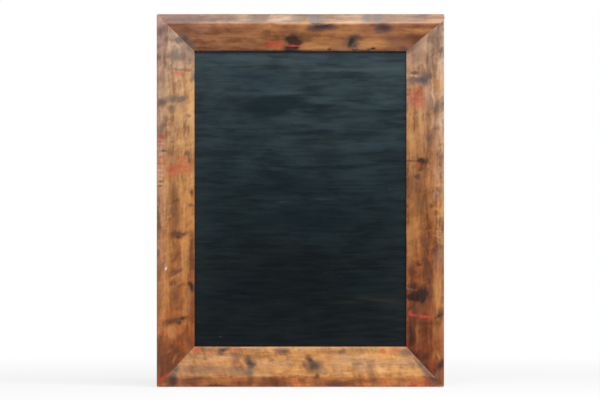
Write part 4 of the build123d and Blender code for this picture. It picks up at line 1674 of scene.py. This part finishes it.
@dataclass
class Studio:
    """The floor, the soft lamp, the white surroundings and the camera straight in front.

    Attributes:
        image_width: Width of what the camera sees at the board, in metres.
        distance: How far the camera stands from the board's front.
        sensor: Width of the camera's sensor, in millimetres.
        aim: Across and up of the middle of what it sees.
        fill: Strength of the surroundings' light on the object.
        lamp_place: Where the lamp hangs.
        lamp_aim: The point that it faces.
        lamp_size: Its width and height.
        lamp_power: Its power in watts.
        floor_size: Length of the floor's sides.
        floor_colour: Its colour in the object's shadow.
        floor_fade: How far from the middle the shadow begins to fade, and where it is gone.
        floor_glow: The share of white at these two.
        flag_size: Length of the sides of the dark screen in front of the object.
        flag_top: Height of its top edge.
        flag_place: Its Y.
        flag_colour: Its colour.
    """

    image_width: float = 1.1965
    distance: float = 11.0
    sensor: float = 36.0
    aim: tuple[float, float] = (-0.0008, 0.374)
    fill: float = 0.26
    lamp_place: Triple = (0.55, -1.5, 2.4)
    lamp_aim: Triple = (0.0, 0.0, 0.37)
    lamp_size: tuple[float, float] = (1.8, 1.2)
    lamp_power: float = 70.0
    floor_size: float = 40.0
    floor_colour: Colour = (0.9, 0.9, 0.9)
    floor_fade: tuple[float, float] = (0.4, 2.4)
    floor_glow: tuple[float, float] = (0.8, 1.0)
    flag_size: float = 24.0
    flag_top: float = 1.7
    flag_place: float = -4.5
    flag_colour: Colour = (0.02, 0.02, 0.02)

    def _hang(self, name: str, data: bpy.types.ID, place: Triple) -> bpy.types.Object:
        """Hang a lamp or a camera in the scene.

        Args:
            name: The object's name.
            data: The lamp or the camera.
            place: Where it hangs.

        Returns:
            The object.
        """
        thing = bpy.data.objects.new(name, data)
        bpy.context.scene.collection.objects.link(thing)
        thing.location = place
        return thing

    def _camera(self) -> None:
        """Set the camera square to the middle of the board."""
        data = bpy.data.cameras.new("front_camera")
        data.sensor_width = self.sensor
        data.lens = self.sensor * self.distance / self.image_width
        across, up = self.aim
        camera = self._hang("front_camera", data, (across, CAD_BOX[0].y - self.distance, up))
        camera.rotation_euler = (math.radians(90), 0.0, 0.0)
        bpy.context.scene.camera = camera

    def _lamp(self) -> None:
        """Hang the soft rectangular lamp."""
        data = bpy.data.lights.new("key_lamp", "AREA")
        data.shape = "RECTANGLE"
        data.size, data.size_y = self.lamp_size
        data.energy = self.lamp_power
        lamp = self._hang("key_lamp", data, self.lamp_place)
        way = Vector(self.lamp_aim) - Vector(self.lamp_place)
        lamp.rotation_euler = way.to_track_quat("-Z", "Y").to_euler()

    def _surroundings(self) -> None:
        """Make the world white to the eye, and a soft fill for the object."""
        world = bpy.data.worlds.new("white_room")
        bpy.context.scene.world = world
        graph = Graph(world)
        strength = graph.run(graph.seen(), 0.0, 1.0, self.fill, 1.0)
        background = graph.add("ShaderNodeBackground", {"Color": WHITE, "Strength": strength})
        graph.end(background, "ShaderNodeOutputWorld")

    def _floor(self) -> None:
        """Lay the pale floor, which keeps the object's shadow."""
        clear_selection()
        bpy.ops.mesh.primitive_plane_add(size=self.floor_size, location=(0.0, 0.0, 0.0))
        floor = bpy.context.object
        floor.name = "pale_floor"
        graph = Graph.of_material("pale_floor")
        matt = graph.add("ShaderNodeBsdfDiffuse", {"Color": self.floor_colour})
        glow = graph.add("ShaderNodeEmission", {"Color": WHITE, "Strength": 1.0})
        reach = graph.add("ShaderNodeVectorMath", {0: graph.place}, operation="LENGTH").outputs["Value"]
        share = graph.math("MULTIPLY", graph.seen(), graph.fit(reach, *self.floor_fade, *self.floor_glow))
        graph.end(graph.add("ShaderNodeMixShader", {0: share, 1: matt.outputs[0], 2: glow.outputs[0]}))
        floor.data.materials.append(graph.owner)
        floor.visible_glossy = False

    def _flag(self) -> None:
        """Stand a dark screen before the object, which only reflections see, against glare on the board."""
        clear_selection()
        bpy.ops.mesh.primitive_plane_add(size=1.0, rotation=(math.radians(90), 0.0, 0.0))
        flag = bpy.context.object
        flag.name = "dark_flag"
        flag.scale = (self.flag_size, self.flag_size, 1.0)
        flag.location = (0.0, self.flag_place, self.flag_top - self.flag_size / 2)
        bpy.ops.object.transform_apply(location=True, rotation=True, scale=True)
        graph = Graph.of_material("dark_flag")
        flag.data.materials.append(graph.finish({"Base Color": self.flag_colour, "Roughness": 0.9}))
        for ray in ("camera", "diffuse", "transmission", "volume_scatter", "shadow"):
            setattr(flag, "visible_" + ray, False)

    def build(self) -> None:
        """Set up the studio."""
        scene = bpy.context.scene
        scene.view_settings.view_transform = "Standard"
        self._camera()
        self._surroundings()
        self._floor()
        self._flag()
        self._lamp()
        LOG.info("studio: %s", scene.camera.name)


FINISHES = {
    "blackboard_paint": BoardPaint(
        "blackboard_paint",
        base=(0.0028, 0.0068, 0.0082),
        lift=(0.0058, 0.0112, 0.0132),
        dust_and_sheen=(0.032, 0.052, 0.062),
        front=-0.0022,
        table=PANEL_MARKS,
    ),
    "pressed_beech": Speckled("pressed_beech", (0.42, 0.27, 0.15), (0.66, 0.48, 0.31), 260.0, 0.75),
    "zinc_plated_steel": PlatedSteel("zinc_plated_steel", (0.44, 0.44, 0.43), (0.27, 0.27, 0.265), 0.30),
    "bright_steel_wire": PlatedSteel("bright_steel_wire", (0.56, 0.55, 0.53), (0.38, 0.37, 0.36), 0.18),
    "dark_rubber": Speckled("dark_rubber", (0.018, 0.018, 0.018), (0.035, 0.035, 0.034), 900.0, 0.72),
}


def main() -> None:
    logging.basicConfig(level=logging.INFO, format="%(name)s: %(message)s")
    WornFrame().build()
    CarriedOver(FINISHES).dress()
    Studio().build()
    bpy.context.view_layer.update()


if __name__ == "__main__":
    main()
